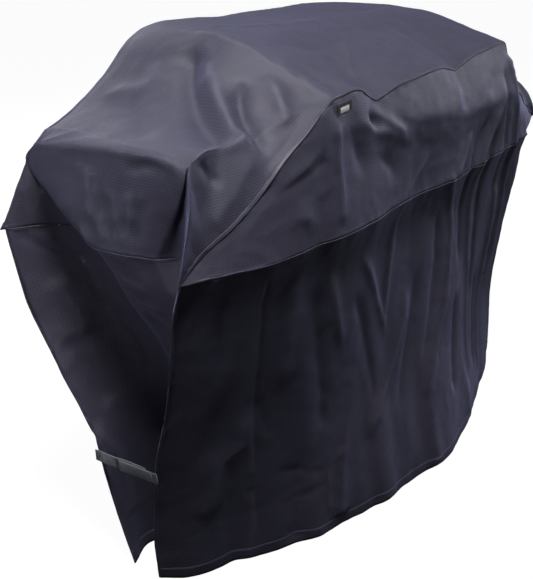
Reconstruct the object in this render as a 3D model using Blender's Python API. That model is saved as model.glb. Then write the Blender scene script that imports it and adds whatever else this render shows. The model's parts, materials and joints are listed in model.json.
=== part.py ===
"""Cover for a large gas grill with two side shelves, standing as it hangs over the grill.

The cover is one long top strip (shoulder, lid top, shoulder), a front and a back upper
panel, four skirt panels with turned hems, raised seams between them, a two-part hook and
loop strap low on each end, and a folded label under the lid's front seam.

Metres, +Z up.  The front faces -Y and +X is the cover's right.  The origin is on the
floor, under the middle of the cover's box.
"""
import math

import bpy
import numpy as np

# Driving dimensions
EAR_X = 0.780             # half the width between the corner seams
WAIST_Z = 0.700           # height of the seam that runs all round
CLOTH = 0.0016            # coated cloth with its seam allowances
SEAM_R = 0.0020           # radius of a raised, bound seam
HEM_H = 0.025             # height of the turned hem
HEM_T = 0.0040            # thickness of the turned hem
SEAM_INSET = 0.0030       # a panel's edge stops this far from the middle of its seam
CORNER_INSET = 0.0050     # the same at the corner seams, where panels meet sharply
EAR_TRIM = 0.014          # seams stop this far from an ear, where four of them meet
GAP = 0.0003              # clearance between touching pieces

# Front and back outlines in plan, measured at the middle and at the corners
FRONT_WAIST_Y, FRONT_HEM_Y = -0.280, -0.3837
BACK_WAIST_Y, BACK_HEM_Y = 0.380, 0.340
WAIST_POWER, HEM_POWER = 3.2, 2.0      # how square the outline is at the waist and hem

# Corner seams as (height, y): the strap pulls them together low down
FRONT_CORNER = ((0.0, -0.090), (0.12, -0.089), (0.26, -0.100), (0.42, -0.132), (0.53, -0.154), (0.70, -0.184))
BACK_CORNER = ((0.0, -0.034), (0.12, 0.012), (0.26, 0.060), (0.42, 0.166), (0.53, 0.226), (0.70, 0.285))

# Cap seam, lid corner to ear, as (distance from the middle, height)
LID_X = 0.393
CAP_SEAM = ((0.0, 0.955), (LID_X, 0.963), (0.46, 0.918), (0.52, 0.882), (0.60, 0.813), (0.66, 0.772),
            (0.715, 0.741), (EAR_X, WAIST_Z))
LID_FRONT_Y, LID_BACK_Y = -0.236, 0.255
FRONT_EAR_Y, BACK_EAR_Y = FRONT_CORNER[-1][1], BACK_CORNER[-1][1]

# Crest of the strip, as (distance from the middle, height)
SHELF_X = 0.70
CREST = ((0.0, 1.055), (0.15, 1.055), (0.30, 1.053), (0.37, 1.048), (0.43, 1.030), (0.50, 0.982), (0.57, 0.940),
         (SHELF_X, 0.895))
LID_LEAN = 0.018          # the lid top is this much lower at its right end and higher at its left
FLAT_HALF_X = 0.15        # half the width of the level middle of the lid top
SAG = 0.8                 # share of the height above SAG_FROM_Z that the right shoulder loses
SAG_FROM_Z = 0.78         # the right shoulder sags above this height
SAG_EASE = 0.04           # height over which the sag sets in
SAG_WIDTH = 0.16          # width over which it sets in, from the lid's right end outwards

# End outline in plan, front ear to back ear, as (x, y) on the left side, at three heights
END_WAIST = ((-0.780, -0.184), (-0.738, -0.150), (-0.700, -0.095), (-0.722, -0.045), (-0.740, 0.005),
             (-0.738, 0.062), (-0.690, 0.108), (-0.672, 0.165), (-0.712, 0.237), (-0.780, 0.285))
END_STRAP = ((-0.780, -0.100), (-0.730, -0.102), (-0.670, -0.098), (-0.610, -0.080), (-0.578, -0.048),
             (-0.578, -0.010), (-0.612, 0.026), (-0.665, 0.046), (-0.725, 0.057), (-0.780, 0.060))
END_HEM = ((-0.780, -0.090), (-0.730, -0.102), (-0.670, -0.112), (-0.605, -0.110), (-0.556, -0.088),
           (-0.552, -0.058), (-0.590, -0.036), (-0.650, -0.026), (-0.720, -0.028), (-0.780, -0.034))
STRAP_LEVEL = 0.255

# Straps
WEB_W = 0.025             # webbing width
WEB_T = 0.0020            # webbing thickness
PATCH_T = 0.0010          # hook or loop tape thickness
PATCH_W = 0.020
TAB_L = 0.012             # sewn end of a strap, on the corner seam
FRONT_STRAP_L, REAR_STRAP_L = 0.094, 0.126
FRONT_PATCH_L, REAR_PATCH_L = 0.060, 0.085
HINGE_CLEAR = 0.0015      # between a strap's hinge and the pieces on either side of it
REAR_SETBACK = 0.010      # the rear strap bends this far in front of its sloping corner seam
STRAP_END_Z = (0.265, 0.247)           # heights of the strap at the front and rear corners
OUTER_FACE_X = 0.7905     # outer face of the front strap
REAR_FACE_X = OUTER_FACE_X - WEB_T - 2 * PATCH_T - 3 * GAP

# Label
LABEL_W, LABEL_H, LABEL_T = 0.050, 0.025, 0.0012
LABEL_X = -0.357
LABEL_TOP_Z = 0.954
LABEL_Y = LID_FRONT_Y - 0.0065

# Stations shared by neighbouring pieces, so that their edges run parallel
X_STATIONS = (0.0, 0.075, 0.15, 0.225, 0.30, 0.36, LID_X, 0.43, 0.47, 0.52, 0.57, 0.62, 0.66, SHELF_X)
SKIRT_LEVELS = (HEM_H, 0.12, 0.26, 0.34, 0.42, 0.53, 0.62, WAIST_Z)
END_COLUMNS = 22
STRIP_ROWS = 5            # rows on each end face of the strip, below the shelf

CLOTH_COLOUR = (0.030, 0.030, 0.040, 1.0)
BINDING_COLOUR = (0.055, 0.055, 0.070, 1.0)
WEB_COLOUR = (0.090, 0.090, 0.115, 1.0)
HOOK_COLOUR = (0.020, 0.020, 0.022, 1.0)
LABEL_COLOUR = (0.010, 0.010, 0.012, 1.0)


def clear_scene():
    for item in list(bpy.data.objects):
        bpy.data.objects.remove(item, do_unlink=True)


def material(name, colour, roughness):
    made = bpy.data.materials.new(name)
    made.use_nodes = True
    shader = made.node_tree.nodes["Principled BSDF"]
    shader.inputs["Base Color"].default_value = colour
    shader.inputs["Roughness"].default_value = roughness
    shader.inputs["Metallic"].default_value = 0.0
    return made


def smooth_through(points, count):
    """Catmull-Rom curve through the points, as evenly spaced samples along it."""
    knots = np.array(points, dtype=float)
    padded = np.vstack((2 * knots[0] - knots[1], knots, 2 * knots[-1] - knots[-2]))
    dense = []
    for i in range(len(knots) - 1):
        a, b, c, d = padded[i:i + 4]
        for t in np.linspace(0.0, 1.0, 16, endpoint=False):
            dense.append(0.5 * (2 * b + (c - a) * t + (2 * a - 5 * b + 4 * c - d) * t ** 2
                                + (3 * b - a - 3 * c + d) * t ** 3))
    dense = np.array(dense + [knots[-1]])
    run = np.concatenate(([0.0], np.cumsum(np.linalg.norm(np.diff(dense, axis=0), axis=1))))
    wanted = np.linspace(0.0, run[-1], count)
    return np.stack([np.interp(wanted, run, dense[:, k]) for k in range(dense.shape[1])], axis=1)


def lookup(table, value):
    return float(np.interp(value, [row[0] for row in table], [row[1] for row in table]))


def smooth_step(low, high, value):
    t = min(max((value - low) / (high - low), 0.0), 1.0)
    return t * t * (3 - 2 * t)


def outline_y(x, z, side):
    """Depth of the front (side -1) or back (side +1) skirt at width x and height z."""
    up = z / WAIST_Z
    corner, hem_mid, waist_mid = FRONT_CORNER, FRONT_HEM_Y, FRONT_WAIST_Y
    if side > 0:
        corner, hem_mid, waist_mid = BACK_CORNER, BACK_HEM_Y, BACK_WAIST_Y
    corner_y = lookup(corner, z)
    middle_y = hem_mid + (waist_mid - hem_mid) * up
    power = HEM_POWER + (WAIST_POWER - HEM_POWER) * up
    return corner_y + (middle_y - corner_y) * (1 - (abs(x) / EAR_X) ** power)


def sagged(points):
    """The points with the cloth beside the lid's right end let down: nothing holds it up there."""
    points = np.array(points, dtype=float)
    beside = np.clip((points[..., 0] - LID_X) / SAG_WIDTH, 0.0, 1.0)
    over = np.clip(points[..., 2] - SAG_FROM_Z, 0.0, None)
    points[..., 2] -= SAG * beside ** 2 * (3 - 2 * beside) * over ** 2 / (over + SAG_EASE)
    return points


def held_cap_point(x, side):
    """Point on the front or back cap seam at width x, where both ends are held up."""
    lid_y, ear_y = (LID_FRONT_Y, FRONT_EAR_Y) if side < 0 else (LID_BACK_Y, BACK_EAR_Y)
    down = smooth_step(LID_X, EAR_X, abs(x))
    return np.array((x, lid_y + (ear_y - lid_y) * down ** 1.5, lookup(CAP_SEAM, abs(x))))


def cap_point(x, side):
    """Point on the front or back cap seam at width x."""
    return sagged(held_cap_point(x, side))


def strip_section(x, count):
    """Cross-section of the strip at width x, from the front cap seam to the back one."""
    front, back = held_cap_point(x, -1), held_cap_point(x, 1)
    crest = lookup(CREST, abs(x))
    lean = smooth_step(FLAT_HALF_X, LID_X, abs(x)) * (1 - smooth_step(LID_X, SHELF_X, abs(x)))
    crest -= math.copysign(LID_LEAN, x) * lean
    shelf = smooth_step(LID_X, 0.55, abs(x))
    rise_to = -0.02 + (-0.146 + 0.02) * shelf          # the lid's front slopes, the shelf's is square
    fall_from = 0.165 + 0.045 * shelf
    bulge = 0.012 * shelf
    knots = (tuple(front),
             (x, front[1] + (rise_to - front[1]) * (0.36 - 0.10 * shelf),
              front[2] + (crest - front[2]) * (0.30 + 0.14 * shelf) + bulge),
             (x, rise_to - 0.06 + 0.045 * shelf, crest - 0.022 + 0.012 * shelf),
             (x, rise_to + 0.03, crest), (x, rise_to + 0.05, crest),
             (x, fall_from - 0.06, crest), (x, fall_from - 0.03, crest),
             (x, fall_from + 0.030, crest - 0.016),
             tuple(0.5 * (np.array((x, fall_from + 0.045, crest)) + back) + np.array((0, 0.008, -0.010))),
             tuple(back))
    return sagged(smooth_through(knots, count))


def end_section(z, count):
    """Plan of the left end's cloth at height z, from its front corner to its back corner."""
    waist, strap, hem = (smooth_through(points, count) for points in (END_WAIST, END_STRAP, END_HEM))
    if z >= STRAP_LEVEL:
        low, high, t = strap, waist, smooth_step(STRAP_LEVEL, WAIST_Z, z)
    else:
        low, high, t = hem, strap, z / STRAP_LEVEL
    plan = low + (high - low) * t
    along = np.linspace(0.0, 1.0, count)
    shift = ((1 - along) * (lookup(FRONT_CORNER, z) - plan[0, 1])
             + along * (lookup(BACK_CORNER, z) - plan[-1, 1]))
    return np.column_stack((plan[:, 0], plan[:, 1] + shift, np.full(count, z)))


def mirrored(rows):
    """The same rows on the other side of the cover."""
    return [np.asarray(row) * (-1, 1, 1) for row in rows]


def trim(line, start, end):
    """The polyline with its ends cut back by the given lengths, keeping its own corners."""
    line = np.asarray(line, dtype=float)
    for cut in (start, end):
        while cut > 0 and np.linalg.norm(line[1] - line[0]) <= cut * 1.3:
            cut -= np.linalg.norm(line[1] - line[0])
            line = line[1:]
        if cut > 0:
            line[0] += (line[1] - line[0]) / np.linalg.norm(line[1] - line[0]) * cut
        line = line[::-1].copy()
    return line


def inset(line, start, end):
    """The polyline with its first and last points moved inwards, keeping its point count."""
    line = np.asarray(line, dtype=float).copy()
    line[0] += (line[1] - line[0]) / np.linalg.norm(line[1] - line[0]) * start
    line[-1] += (line[-2] - line[-1]) / np.linalg.norm(line[-2] - line[-1]) * end
    return line


def edge_slant(edge, inner):
    """Sine of the angle at which each row meets the edge, never below a third."""
    along = np.gradient(edge, axis=0)
    across = inner - edge
    cosine = np.sum(along * across, axis=1) / (np.linalg.norm(along, axis=1) * np.linalg.norm(across, axis=1))
    return np.maximum(np.sqrt(1 - np.minimum(cosine ** 2, 1.0)), 1 / 3)


def inset_grid(rows, side_gap, end_gap):
    """A grid of rows moved inwards at the rows' ends and at the first and last rows."""
    rows = np.array(rows, dtype=float)
    starts, ends = edge_slant(rows[:, 0], rows[:, 1]), edge_slant(rows[:, -1], rows[:, -2])
    grid = np.array([inset(row, side_gap / first, side_gap / last)
                     for row, first, last in zip(rows, starts, ends)])
    for column in range(grid.shape[1]):
        grid[:, column] = inset(grid[:, column], *end_gap)
    return grid


def sheet(name, rows, thickness, finish, outward):
    """One closed sheet: a grid of points, thickened by half its thickness each way."""
    grid = np.asarray(rows)
    count, width = grid.shape[:2]
    vertices = [tuple(point) for row in grid for point in row]
    faces = []
    for i in range(count - 1):
        for j in range(width - 1):
            a, b = i * width + j, i * width + j + 1
            c, d = (i + 1) * width + j + 1, (i + 1) * width + j
            faces.append((a, b, c, d))
    mesh = bpy.data.meshes.new(name)
    mesh.from_pydata(vertices, [], faces)
    mesh.update()
    middle = mesh.polygons[len(faces) // 2]
    if middle.normal.dot(outward) < 0:
        mesh.flip_normals()
    mesh.shade_smooth()
    mesh.materials.append(finish)
    item = bpy.data.objects.new(name, mesh)
    bpy.context.scene.collection.objects.link(item)
    solid = item.modifiers.new("thickness", "SOLIDIFY")
    solid.thickness = thickness
    solid.offset = 0.0
    solid.use_even_offset = True
    return item


def tube(name, line, radius, finish):
    """A raised seam: a round cord along a polyline, with filled ends."""
    curve = bpy.data.curves.new(name, "CURVE")
    curve.dimensions = "3D"
    curve.bevel_depth = radius
    curve.bevel_resolution = 1
    curve.use_fill_caps = True
    spline = curve.splines.new("POLY")
    spline.points.add(len(line) - 1)
    for point, place in zip(spline.points, line):
        point.co = (*place, 1.0)
    curve.materials.append(finish)
    item = bpy.data.objects.new(name, curve)
    bpy.context.scene.collection.objects.link(item)
    return item


def signed_stations(limit):
    """The shared stations from left to right, as far out as the given width."""
    right = [x for x in X_STATIONS if x <= limit]
    return [-x for x in reversed(right[1:])] + right


def end_rows():
    """Widths of the strip's rows between the shelf's outer edge and the ear, inner one first."""
    return list(np.linspace(SHELF_X, EAR_X, STRIP_ROWS + 1)[1:])


def full_width(outer_count=STRIP_ROWS):
    """Stations over the full width, with those between the shelf and the ears."""
    outer = end_rows()[:outer_count]
    return [-x for x in reversed(outer)] + signed_stations(SHELF_X) + outer


def make_strip(finish):
    columns = END_COLUMNS
    left_shelf = strip_section(-SHELF_X, columns)
    right_shelf = strip_section(SHELF_X, columns)
    waist = end_section(WAIST_Z, columns)
    right_waist = mirrored([waist])[0]
    rows = [end_blend(waist, left_shelf, -x) for x in reversed(end_rows())]
    rows += [strip_section(x, columns) for x in signed_stations(SHELF_X)]
    rows += [end_blend(right_waist, right_shelf, x) for x in end_rows()]
    grid = inset_grid(rows, SEAM_INSET, (SEAM_INSET, SEAM_INSET))
    return sheet("top_strip", grid, CLOTH, finish, (0, 0, 1))


def end_blend(waist, shelf, x):
    """A row of the end face, whose two ends lie on the cap seams at width x."""
    t = (EAR_X - abs(x)) / (EAR_X - SHELF_X)
    row = waist + (shelf - waist) * t
    along = np.linspace(0.0, 1.0, len(row))[:, None]
    row += (1 - along) ** 3 * (cap_point(x, -1) - row[0]) + along ** 3 * (cap_point(x, 1) - row[-1])
    hang = math.sin(math.pi * t) * 0.010
    row[:, 0] += np.sign(x) * hang * (1 - (2 * along[:, 0] - 1) ** 2)
    return row


def make_upper_panel(name, side, finish):
    rows = []
    for t in np.linspace(0.0, 1.0, 6):
        row = []
        for x in full_width(STRIP_ROWS - 2):
            top = cap_point(x, side)
            low = np.array((x, outline_y(x, WAIST_Z, side), WAIST_Z))
            row.append(low + (top - low) * t)
        rows.append(row)
    grid = np.array(rows)
    for column in range(grid.shape[1]):
        grid[:, column] = respaced(grid[:, column], SEAM_INSET)
    return sheet(name, grid, CLOTH, finish, (0, side, 0))


def respaced(line, gap):
    """A straight column shortened by the gap at both ends and spaced evenly again."""
    start, end = line[0], line[-1]
    step = (end - start) / np.linalg.norm(end - start) * gap
    return np.linspace(start + step, end - step, len(line))


def make_skirt(name, side, finish):
    rows = [[(x, outline_y(x, z, side), z) for x in full_width()] for z in SKIRT_LEVELS]
    grid = inset_grid(rows, CORNER_INSET, (GAP, SEAM_INSET))
    return sheet(name, grid, CLOTH, finish, (0, side, 0))


def make_gusset(name, side, finish):
    rows = [end_section(z, END_COLUMNS) for z in SKIRT_LEVELS]
    if side > 0:
        rows = mirrored(rows)
    grid = inset_grid(rows, CORNER_INSET, (GAP, SEAM_INSET))
    return sheet(name, grid, CLOTH, finish, (side, 0, 0))


def make_hem(name, plan, finish, outward):
    """A turned hem: an upright band on the floor that follows the plan."""
    line = trim(plan, 0.012, 0.012)
    rows = [[(x, y, z) for x, y, _ in line] for z in (0.0, HEM_H)]
    return sheet(name, rows, HEM_T, finish, outward)


def hem_plan(side):
    return [(x, outline_y(x, HEM_H, side), 0.0) for x in full_width()]


def make_cap_seam(name, side, finish):
    line = [cap_point(x, side) for x in full_width()]
    return tube(name, trim(line, EAR_TRIM, EAR_TRIM), SEAM_R, finish)


def make_waist_seam(name, line, finish):
    return tube(name, trim(line, EAR_TRIM, EAR_TRIM), SEAM_R, finish)


def make_corner_seam(name, side_x, table, finish):
    line = [(side_x * EAR_X, lookup(table, z), z) for z in SKIRT_LEVELS]
    return tube(name, trim(line, 0.004, EAR_TRIM), SEAM_R, finish)


def strap_z(y):
    """Height of the strap's middle at depth y: it slopes from one corner to the other."""
    front_y, rear_y = lookup(FRONT_CORNER, STRAP_LEVEL), lookup(BACK_CORNER, STRAP_LEVEL)
    share = (y - front_y) / (rear_y - front_y)
    return STRAP_END_Z[0] + (STRAP_END_Z[1] - STRAP_END_Z[0]) * share


def band(name, origin, span, face_x, thickness, width, side, finish):
    """A flat length of webbing or tape on edge, between two depths.

    face_x is its outer face's distance from the middle of the cover; origin is where its
    object sits, which is the hinge's axis on a moving piece.
    """
    start, end = span
    vertices = []
    for y in (start, end):
        middle = strap_z(y)
        for x in (face_x, face_x - thickness):
            for z in (middle - width / 2, middle + width / 2):
                vertices.append((side * x - origin[0], y - origin[1], z - origin[2]))
    faces = [(0, 2, 3, 1), (4, 5, 7, 6), (0, 1, 5, 4), (2, 6, 7, 3), (0, 4, 6, 2), (1, 3, 7, 5)]
    mesh = bpy.data.meshes.new(name)
    mesh.from_pydata(vertices, [], faces)
    mesh.update()
    if (side > 0) == (end > start):
        mesh.flip_normals()
    mesh.materials.append(finish)
    item = bpy.data.objects.new(name, mesh)
    item.location = origin
    bpy.context.scene.collection.objects.link(item)


def make_strap_set(label, side, finishes):
    """Both halves of one end's strap, with their tapes and the tabs sewn to the corners."""
    front_y = lookup(FRONT_CORNER, STRAP_LEVEL)
    rear_y = lookup(BACK_CORNER, STRAP_LEVEL) - REAR_SETBACK
    front_axis = (side * OUTER_FACE_X, front_y, strap_z(front_y))
    rear_axis = (side * (REAR_FACE_X - WEB_T), rear_y, strap_z(rear_y))
    web, hook, loop = finishes
    band(label + "_front_strap", front_axis, (front_y + HINGE_CLEAR, front_y + FRONT_STRAP_L),
         OUTER_FACE_X, WEB_T, WEB_W, side, web)
    band(label + "_rear_strap", rear_axis, (rear_y - HINGE_CLEAR, rear_y - REAR_STRAP_L),
         REAR_FACE_X, WEB_T, WEB_W, side, web)
    tape_end = front_y + FRONT_STRAP_L - 0.003
    band(label + "_hook_patch", front_axis, (tape_end - FRONT_PATCH_L, tape_end),
         OUTER_FACE_X - WEB_T - GAP, PATCH_T, PATCH_W, side, hook)
    tape_end = rear_y - REAR_STRAP_L + 0.003
    band(label + "_loop_patch", rear_axis, (tape_end + REAR_PATCH_L, tape_end),
         REAR_FACE_X + GAP + PATCH_T, PATCH_T, PATCH_W, side, loop)
    band(label + "_front_strap_tab", (0, 0, 0), (front_y - TAB_L, front_y - HINGE_CLEAR),
         OUTER_FACE_X, WEB_T, WEB_W, side, web)
    band(label + "_rear_strap_tab", (0, 0, 0), (rear_y + REAR_SETBACK + TAB_L, rear_y + HINGE_CLEAR),
         REAR_FACE_X, WEB_T, WEB_W, side, web)


def make_label(finish):
    """The folded label, hanging from its sewn top edge, which is its hinge."""
    half_w, half_t = LABEL_W / 2, LABEL_T / 2
    profile = ((-half_t, 0.0), (half_t, 0.0), (half_t, -LABEL_H), (-half_t, -LABEL_H))
    vertices = [(x, y, z) for x in (-half_w, half_w) for y, z in profile]
    faces = [(0, 1, 2, 3), (7, 6, 5, 4), (0, 4, 5, 1), (1, 5, 6, 2), (2, 6, 7, 3), (3, 7, 4, 0)]
    mesh = bpy.data.meshes.new("label")
    mesh.from_pydata(vertices, [], faces)
    mesh.update()
    mesh.materials.append(finish)
    item = bpy.data.objects.new("label", mesh)
    item.location = (LABEL_X, LABEL_Y, LABEL_TOP_Z)
    bpy.context.scene.collection.objects.link(item)


def main():
    clear_scene()
    cloth = material("cloth", CLOTH_COLOUR, 0.62)
    binding = material("binding", BINDING_COLOUR, 0.55)
    webbing = material("webbing", WEB_COLOUR, 0.75)
    hook = material("hook_tape", HOOK_COLOUR, 0.60)
    loop = material("loop_tape", WEB_COLOUR, 0.90)
    label = material("label_cloth", LABEL_COLOUR, 0.55)

    make_strip(cloth)
    for name, side in (("front", -1), ("back", 1)):
        make_upper_panel(name + "_upper_panel", side, cloth)
        make_skirt(name + "_lower_panel", side, cloth)
        make_hem(name + "_hem", hem_plan(side), cloth, (0, side, 0))
        make_cap_seam(name + "_cap_seam", side, binding)
        waist = [(x, outline_y(x, WAIST_Z, side), WAIST_Z) for x in full_width()]
        make_waist_seam(name + "_waist_seam", waist, binding)
    for name, side in (("left", -1), ("right", 1)):
        plan = end_section(HEM_H, END_COLUMNS)
        waist = end_section(WAIST_Z, END_COLUMNS)
        if side > 0:
            plan, waist = mirrored([plan, waist])
        make_gusset(name + "_lower_panel", side, cloth)
        make_hem(name + "_hem", plan, cloth, (side, 0, 0))
        make_waist_seam(name + "_waist_seam", waist, binding)
        make_corner_seam("front_" + name + "_corner_seam", side, FRONT_CORNER, binding)
        make_corner_seam("back_" + name + "_corner_seam", side, BACK_CORNER, binding)
        make_strap_set(name, side, (webbing, hook, loop))
    make_label(label)


main()
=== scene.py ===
"""Looks of the grill cover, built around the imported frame.

The whole cover is first laid out as one welded cloth: the top strip, the upper panels, the
skirts and the folded ends share their seam lines.  Folds and creases are then pushed into
that one cloth, so neighbouring panels always meet.  Last, it is cut into its sewn panels,
and seams, stitches, hems, straps and the label are put on it.
"""
import json
import math

import bpy
import numpy as np
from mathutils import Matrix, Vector, noise


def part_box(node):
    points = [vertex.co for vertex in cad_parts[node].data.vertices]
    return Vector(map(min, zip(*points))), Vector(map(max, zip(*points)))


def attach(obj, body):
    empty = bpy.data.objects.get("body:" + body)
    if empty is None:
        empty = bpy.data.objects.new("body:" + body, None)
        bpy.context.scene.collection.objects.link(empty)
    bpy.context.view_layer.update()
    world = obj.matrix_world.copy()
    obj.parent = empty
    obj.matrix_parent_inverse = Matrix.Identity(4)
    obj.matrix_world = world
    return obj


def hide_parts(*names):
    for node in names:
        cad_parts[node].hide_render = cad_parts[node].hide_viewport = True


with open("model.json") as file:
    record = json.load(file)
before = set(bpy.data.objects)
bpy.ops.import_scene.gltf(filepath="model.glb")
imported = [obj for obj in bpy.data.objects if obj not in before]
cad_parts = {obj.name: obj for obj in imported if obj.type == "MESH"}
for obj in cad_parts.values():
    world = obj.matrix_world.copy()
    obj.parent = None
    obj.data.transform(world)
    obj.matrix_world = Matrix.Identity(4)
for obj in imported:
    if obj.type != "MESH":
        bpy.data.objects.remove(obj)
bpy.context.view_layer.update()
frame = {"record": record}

# Places that the frame gives
SEAM_LOW, SEAM_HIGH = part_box("front_waist_seam")
WAIST_Z = (SEAM_LOW[2] + SEAM_HIGH[2]) / 2
EAR_X = (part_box("front_right_corner_seam")[0][0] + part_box("front_right_corner_seam")[1][0]) / 2
STRAP_AXIS = {joint["child"]: joint["pos_m"] for joint in frame["record"]["behaviour"]["joints"]}

# Cloth
CLOTH_T = 0.0009          # thickness of the coated cloth
RIPSTOP, RIPSTOP_W = 0.0052, 0.0010       # spacing and width of the ripstop threads
YARN = 0.0011             # spacing of two yarns of the plain weave
CLOTH_BASE = (0.0275, 0.0265, 0.0420)
HEM_T = 0.0018            # thickness of the hem's doubled cloth
HEM_ROWS = 4              # rows of points in the turned hem
EDGE_ROWS = 30            # rows of the strip on each end face
INNER_COLUMNS = 213       # columns between the two shelf edges
UPPER_ROWS = 44           # rows of an upper panel
SKIRT_SPLIT, LOW_ROWS, HIGH_ROWS = 0.26, 40, 67     # a skirt's rows below and above this height

# Seam lines, as in the frame
LID_X, SHELF_X = 0.393, 0.70
LID_FRONT_Y, LID_BACK_Y = -0.236, 0.255
FRONT_CORNER = ((0.0, -0.092), (0.12, -0.089), (0.26, -0.100), (0.42, -0.132), (0.53, -0.154), (0.66, -0.172),
                (0.70, -0.184))
BACK_CORNER = ((0.0, -0.020), (0.12, 0.024), (0.235, 0.057), (0.26, 0.062), (0.42, 0.166), (0.53, 0.236),
               (0.70, 0.285))
FRONT_WAIST = ((-0.78, -0.184), (-0.737, -0.203), (-0.66, -0.228), (-0.60, -0.249), (-0.54, -0.260),
               (-0.465, -0.272),
               (-0.416, -0.282), (-0.30, -0.285), (-0.17, -0.276), (-0.05, -0.277), (0.037, -0.292), (0.15,
                                                                                                      -0.288),
               (0.252, -0.283), (0.40, -0.276), (0.55, -0.256), (0.66, -0.226), (0.737, -0.203), (0.78,
                                                                                                  -0.184))
FRONT_HEM = ((-0.78, -0.092), (-0.751, -0.130), (-0.716, -0.160), (-0.679, -0.178), (-0.639, -0.188),
             (-0.613, -0.208),
             (-0.573, -0.233), (-0.52, -0.258), (-0.476, -0.287), (-0.44, -0.295), (-0.40, -0.303), (-0.341,
                                                                                                     -0.321),
             (-0.301, -0.328), (-0.268, -0.341), (-0.195, -0.349), (-0.11, -0.361), (-0.042,
                                                                                     -0.378), (0.052, -0.370),
             (0.123, -0.356), (0.22, -0.330), (0.31, -0.300), (0.42, -0.268), (0.52, -0.236), (0.62, -0.192),
             (0.70, -0.150), (0.78, -0.092))
BACK_WAIST_Y, BACK_HEM_Y = 0.374, 0.340
WAIST_POWER, HEM_POWER = 3.2, 2.0
# Cap seam from the middle of the lid to the ear: (x, height); the lid's edge waves
CAP_LEFT = ((0.0, 0.955), (0.077, 0.952), (0.142, 0.948), (0.194, 0.938), (0.225, 0.934), (0.250, 0.944),
            (0.285, 0.964),
            (0.312, 0.969), (0.350, 0.966), (0.40, 0.962), (0.463, 0.918), (0.52, 0.882), (0.60,
                                                                                           0.813), (0.658,
                                                                                                    0.772),
            (0.715, 0.741), (0.752, 0.716), (0.78, 0.70))
CAP_RIGHT = ((0.0, 0.955), (0.06, 0.955), (0.10, 0.946), (0.125, 0.940), (0.15, 0.945), (0.215, 0.959),
             (0.298, 0.964),
             (0.356, 0.967), (0.40, 0.960), (0.43, 0.915), (0.463, 0.868), (0.52, 0.828), (0.60,
                                                                                           0.799), (0.658,
                                                                                                    0.770),
             (0.715, 0.741), (0.752, 0.716), (0.78, 0.70))
CREST = ((0.0, 1.055), (0.15, 1.055), (0.30, 1.054), (0.37, 1.052), (0.41, 1.044), (0.45, 1.024),
         (0.50, 0.990),
         (0.57, 0.950), (0.64, 0.918), (0.70, 0.895))
RIGHT_SAG = 0.075         # how much lower the right shelf's edge lies
LID_LEAN = 0.017          # how much the crest's two ends lean in height
LID_TOP_Z, LID_SEAM_Z, SHELF_Z = 1.055, 0.963, 0.895
FRONT_EAR_Y, BACK_EAR_Y = -0.184, 0.286
FACES, ENDS = ("front", "back"), ("left", "right")

# Where the end cloth lies at four heights between the waist (0) and the shelf's edge (1), left side:
# front ridge, front valley, its outer lip, middle, outer fold, hidden valley, back flap, back ridge
END_SHARES = (0.0, 0.33, 0.66, 1.0)
FRONT_RIDGE = ((-0.780, -0.184, 0.700), (-0.757, -0.180, 0.771), (-0.727, -0.170, 0.837),
               (-0.700, -0.146, 0.895))
FRONT_VALLEY = ((-0.690, -0.106, 0.700), (-0.691, -0.116, 0.765), (-0.695, -0.128, 0.830),
                (-0.703, -0.142, 0.890))
VALLEY_LIP = ((-0.719, -0.064, 0.700), (-0.713, -0.090, 0.760), (-0.708, -0.116, 0.826),
              (-0.705, -0.133, 0.893))
END_MIDDLE = ((-0.741, 0.000, 0.700), (-0.735, 0.006, 0.765), (-0.724, 0.012, 0.832), (-0.712, 0.020, 0.896))
OUTER_FOLD = ((-0.742, 0.072, 0.700), (-0.737, 0.176, 0.766), (-0.724, 0.250, 0.828), (-0.714, 0.232, 0.872))
HIDDEN_VALLEY = ((-0.664, 0.110, 0.700), (-0.694, 0.196, 0.766), (-0.717, 0.260, 0.828),
                 (-0.713, 0.244, 0.866))
BACK_FLAP = ((-0.697, 0.218, 0.700), (-0.724, 0.240, 0.766), (-0.722, 0.266, 0.827), (-0.712, 0.253, 0.860))
BACK_RIDGE = ((-0.785, 0.286, 0.700), (-0.757, 0.281, 0.764), (-0.726, 0.272, 0.826), (-0.711, 0.262, 0.854))

# Plan of the folded end below the waist, (height, points from the front corner to the back one)
GUSSET_PLANS = (
    (0.00, ((-0.780, -0.092), (-0.722, -0.108), (-0.640, -0.112), (-0.575, -0.092), (-0.570, -0.060),
            (-0.640, -0.035),
            (-0.712, 0.000), (-0.780, -0.020))),
    (0.12, ((-0.780, -0.089), (-0.722, -0.100), (-0.640, -0.104), (-0.575, -0.080), (-0.572, -0.040),
            (-0.640, -0.008),
            (-0.715, 0.028), (-0.780, 0.024))),
    (0.26, ((-0.780, -0.100), (-0.726, -0.106), (-0.655, -0.100), (-0.590, -0.074), (-0.582, -0.018),
            (-0.635, 0.030),
            (-0.715, 0.058), (-0.780, 0.062))),
    (0.42, ((-0.780, -0.132), (-0.738, -0.133), (-0.694, -0.118), (-0.660, -0.086), (-0.638, -0.036),
            (-0.630, 0.024),
            (-0.686, 0.110), (-0.780, 0.166))),
    (0.50, ((-0.780, -0.148), (-0.728, -0.142), (-0.692, -0.114), (-0.680, -0.072), (-0.672, -0.022),
            (-0.638, 0.044),
            (-0.676, 0.150), (-0.780, 0.216))),
    (0.60, ((-0.780, -0.165), (-0.714, -0.136), (-0.702, -0.096), (-0.712, -0.044), (-0.710, 0.024),
            (-0.648, 0.076),
            (-0.680, 0.190), (-0.782, 0.256))),
    (0.70, ((-0.780, -0.184), (-0.690, -0.106), (-0.719, -0.064), (-0.741, -0.004), (-0.741, 0.070),
            (-0.664, 0.112),
            (-0.697, 0.218), (-0.785, 0.286))),
)
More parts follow.
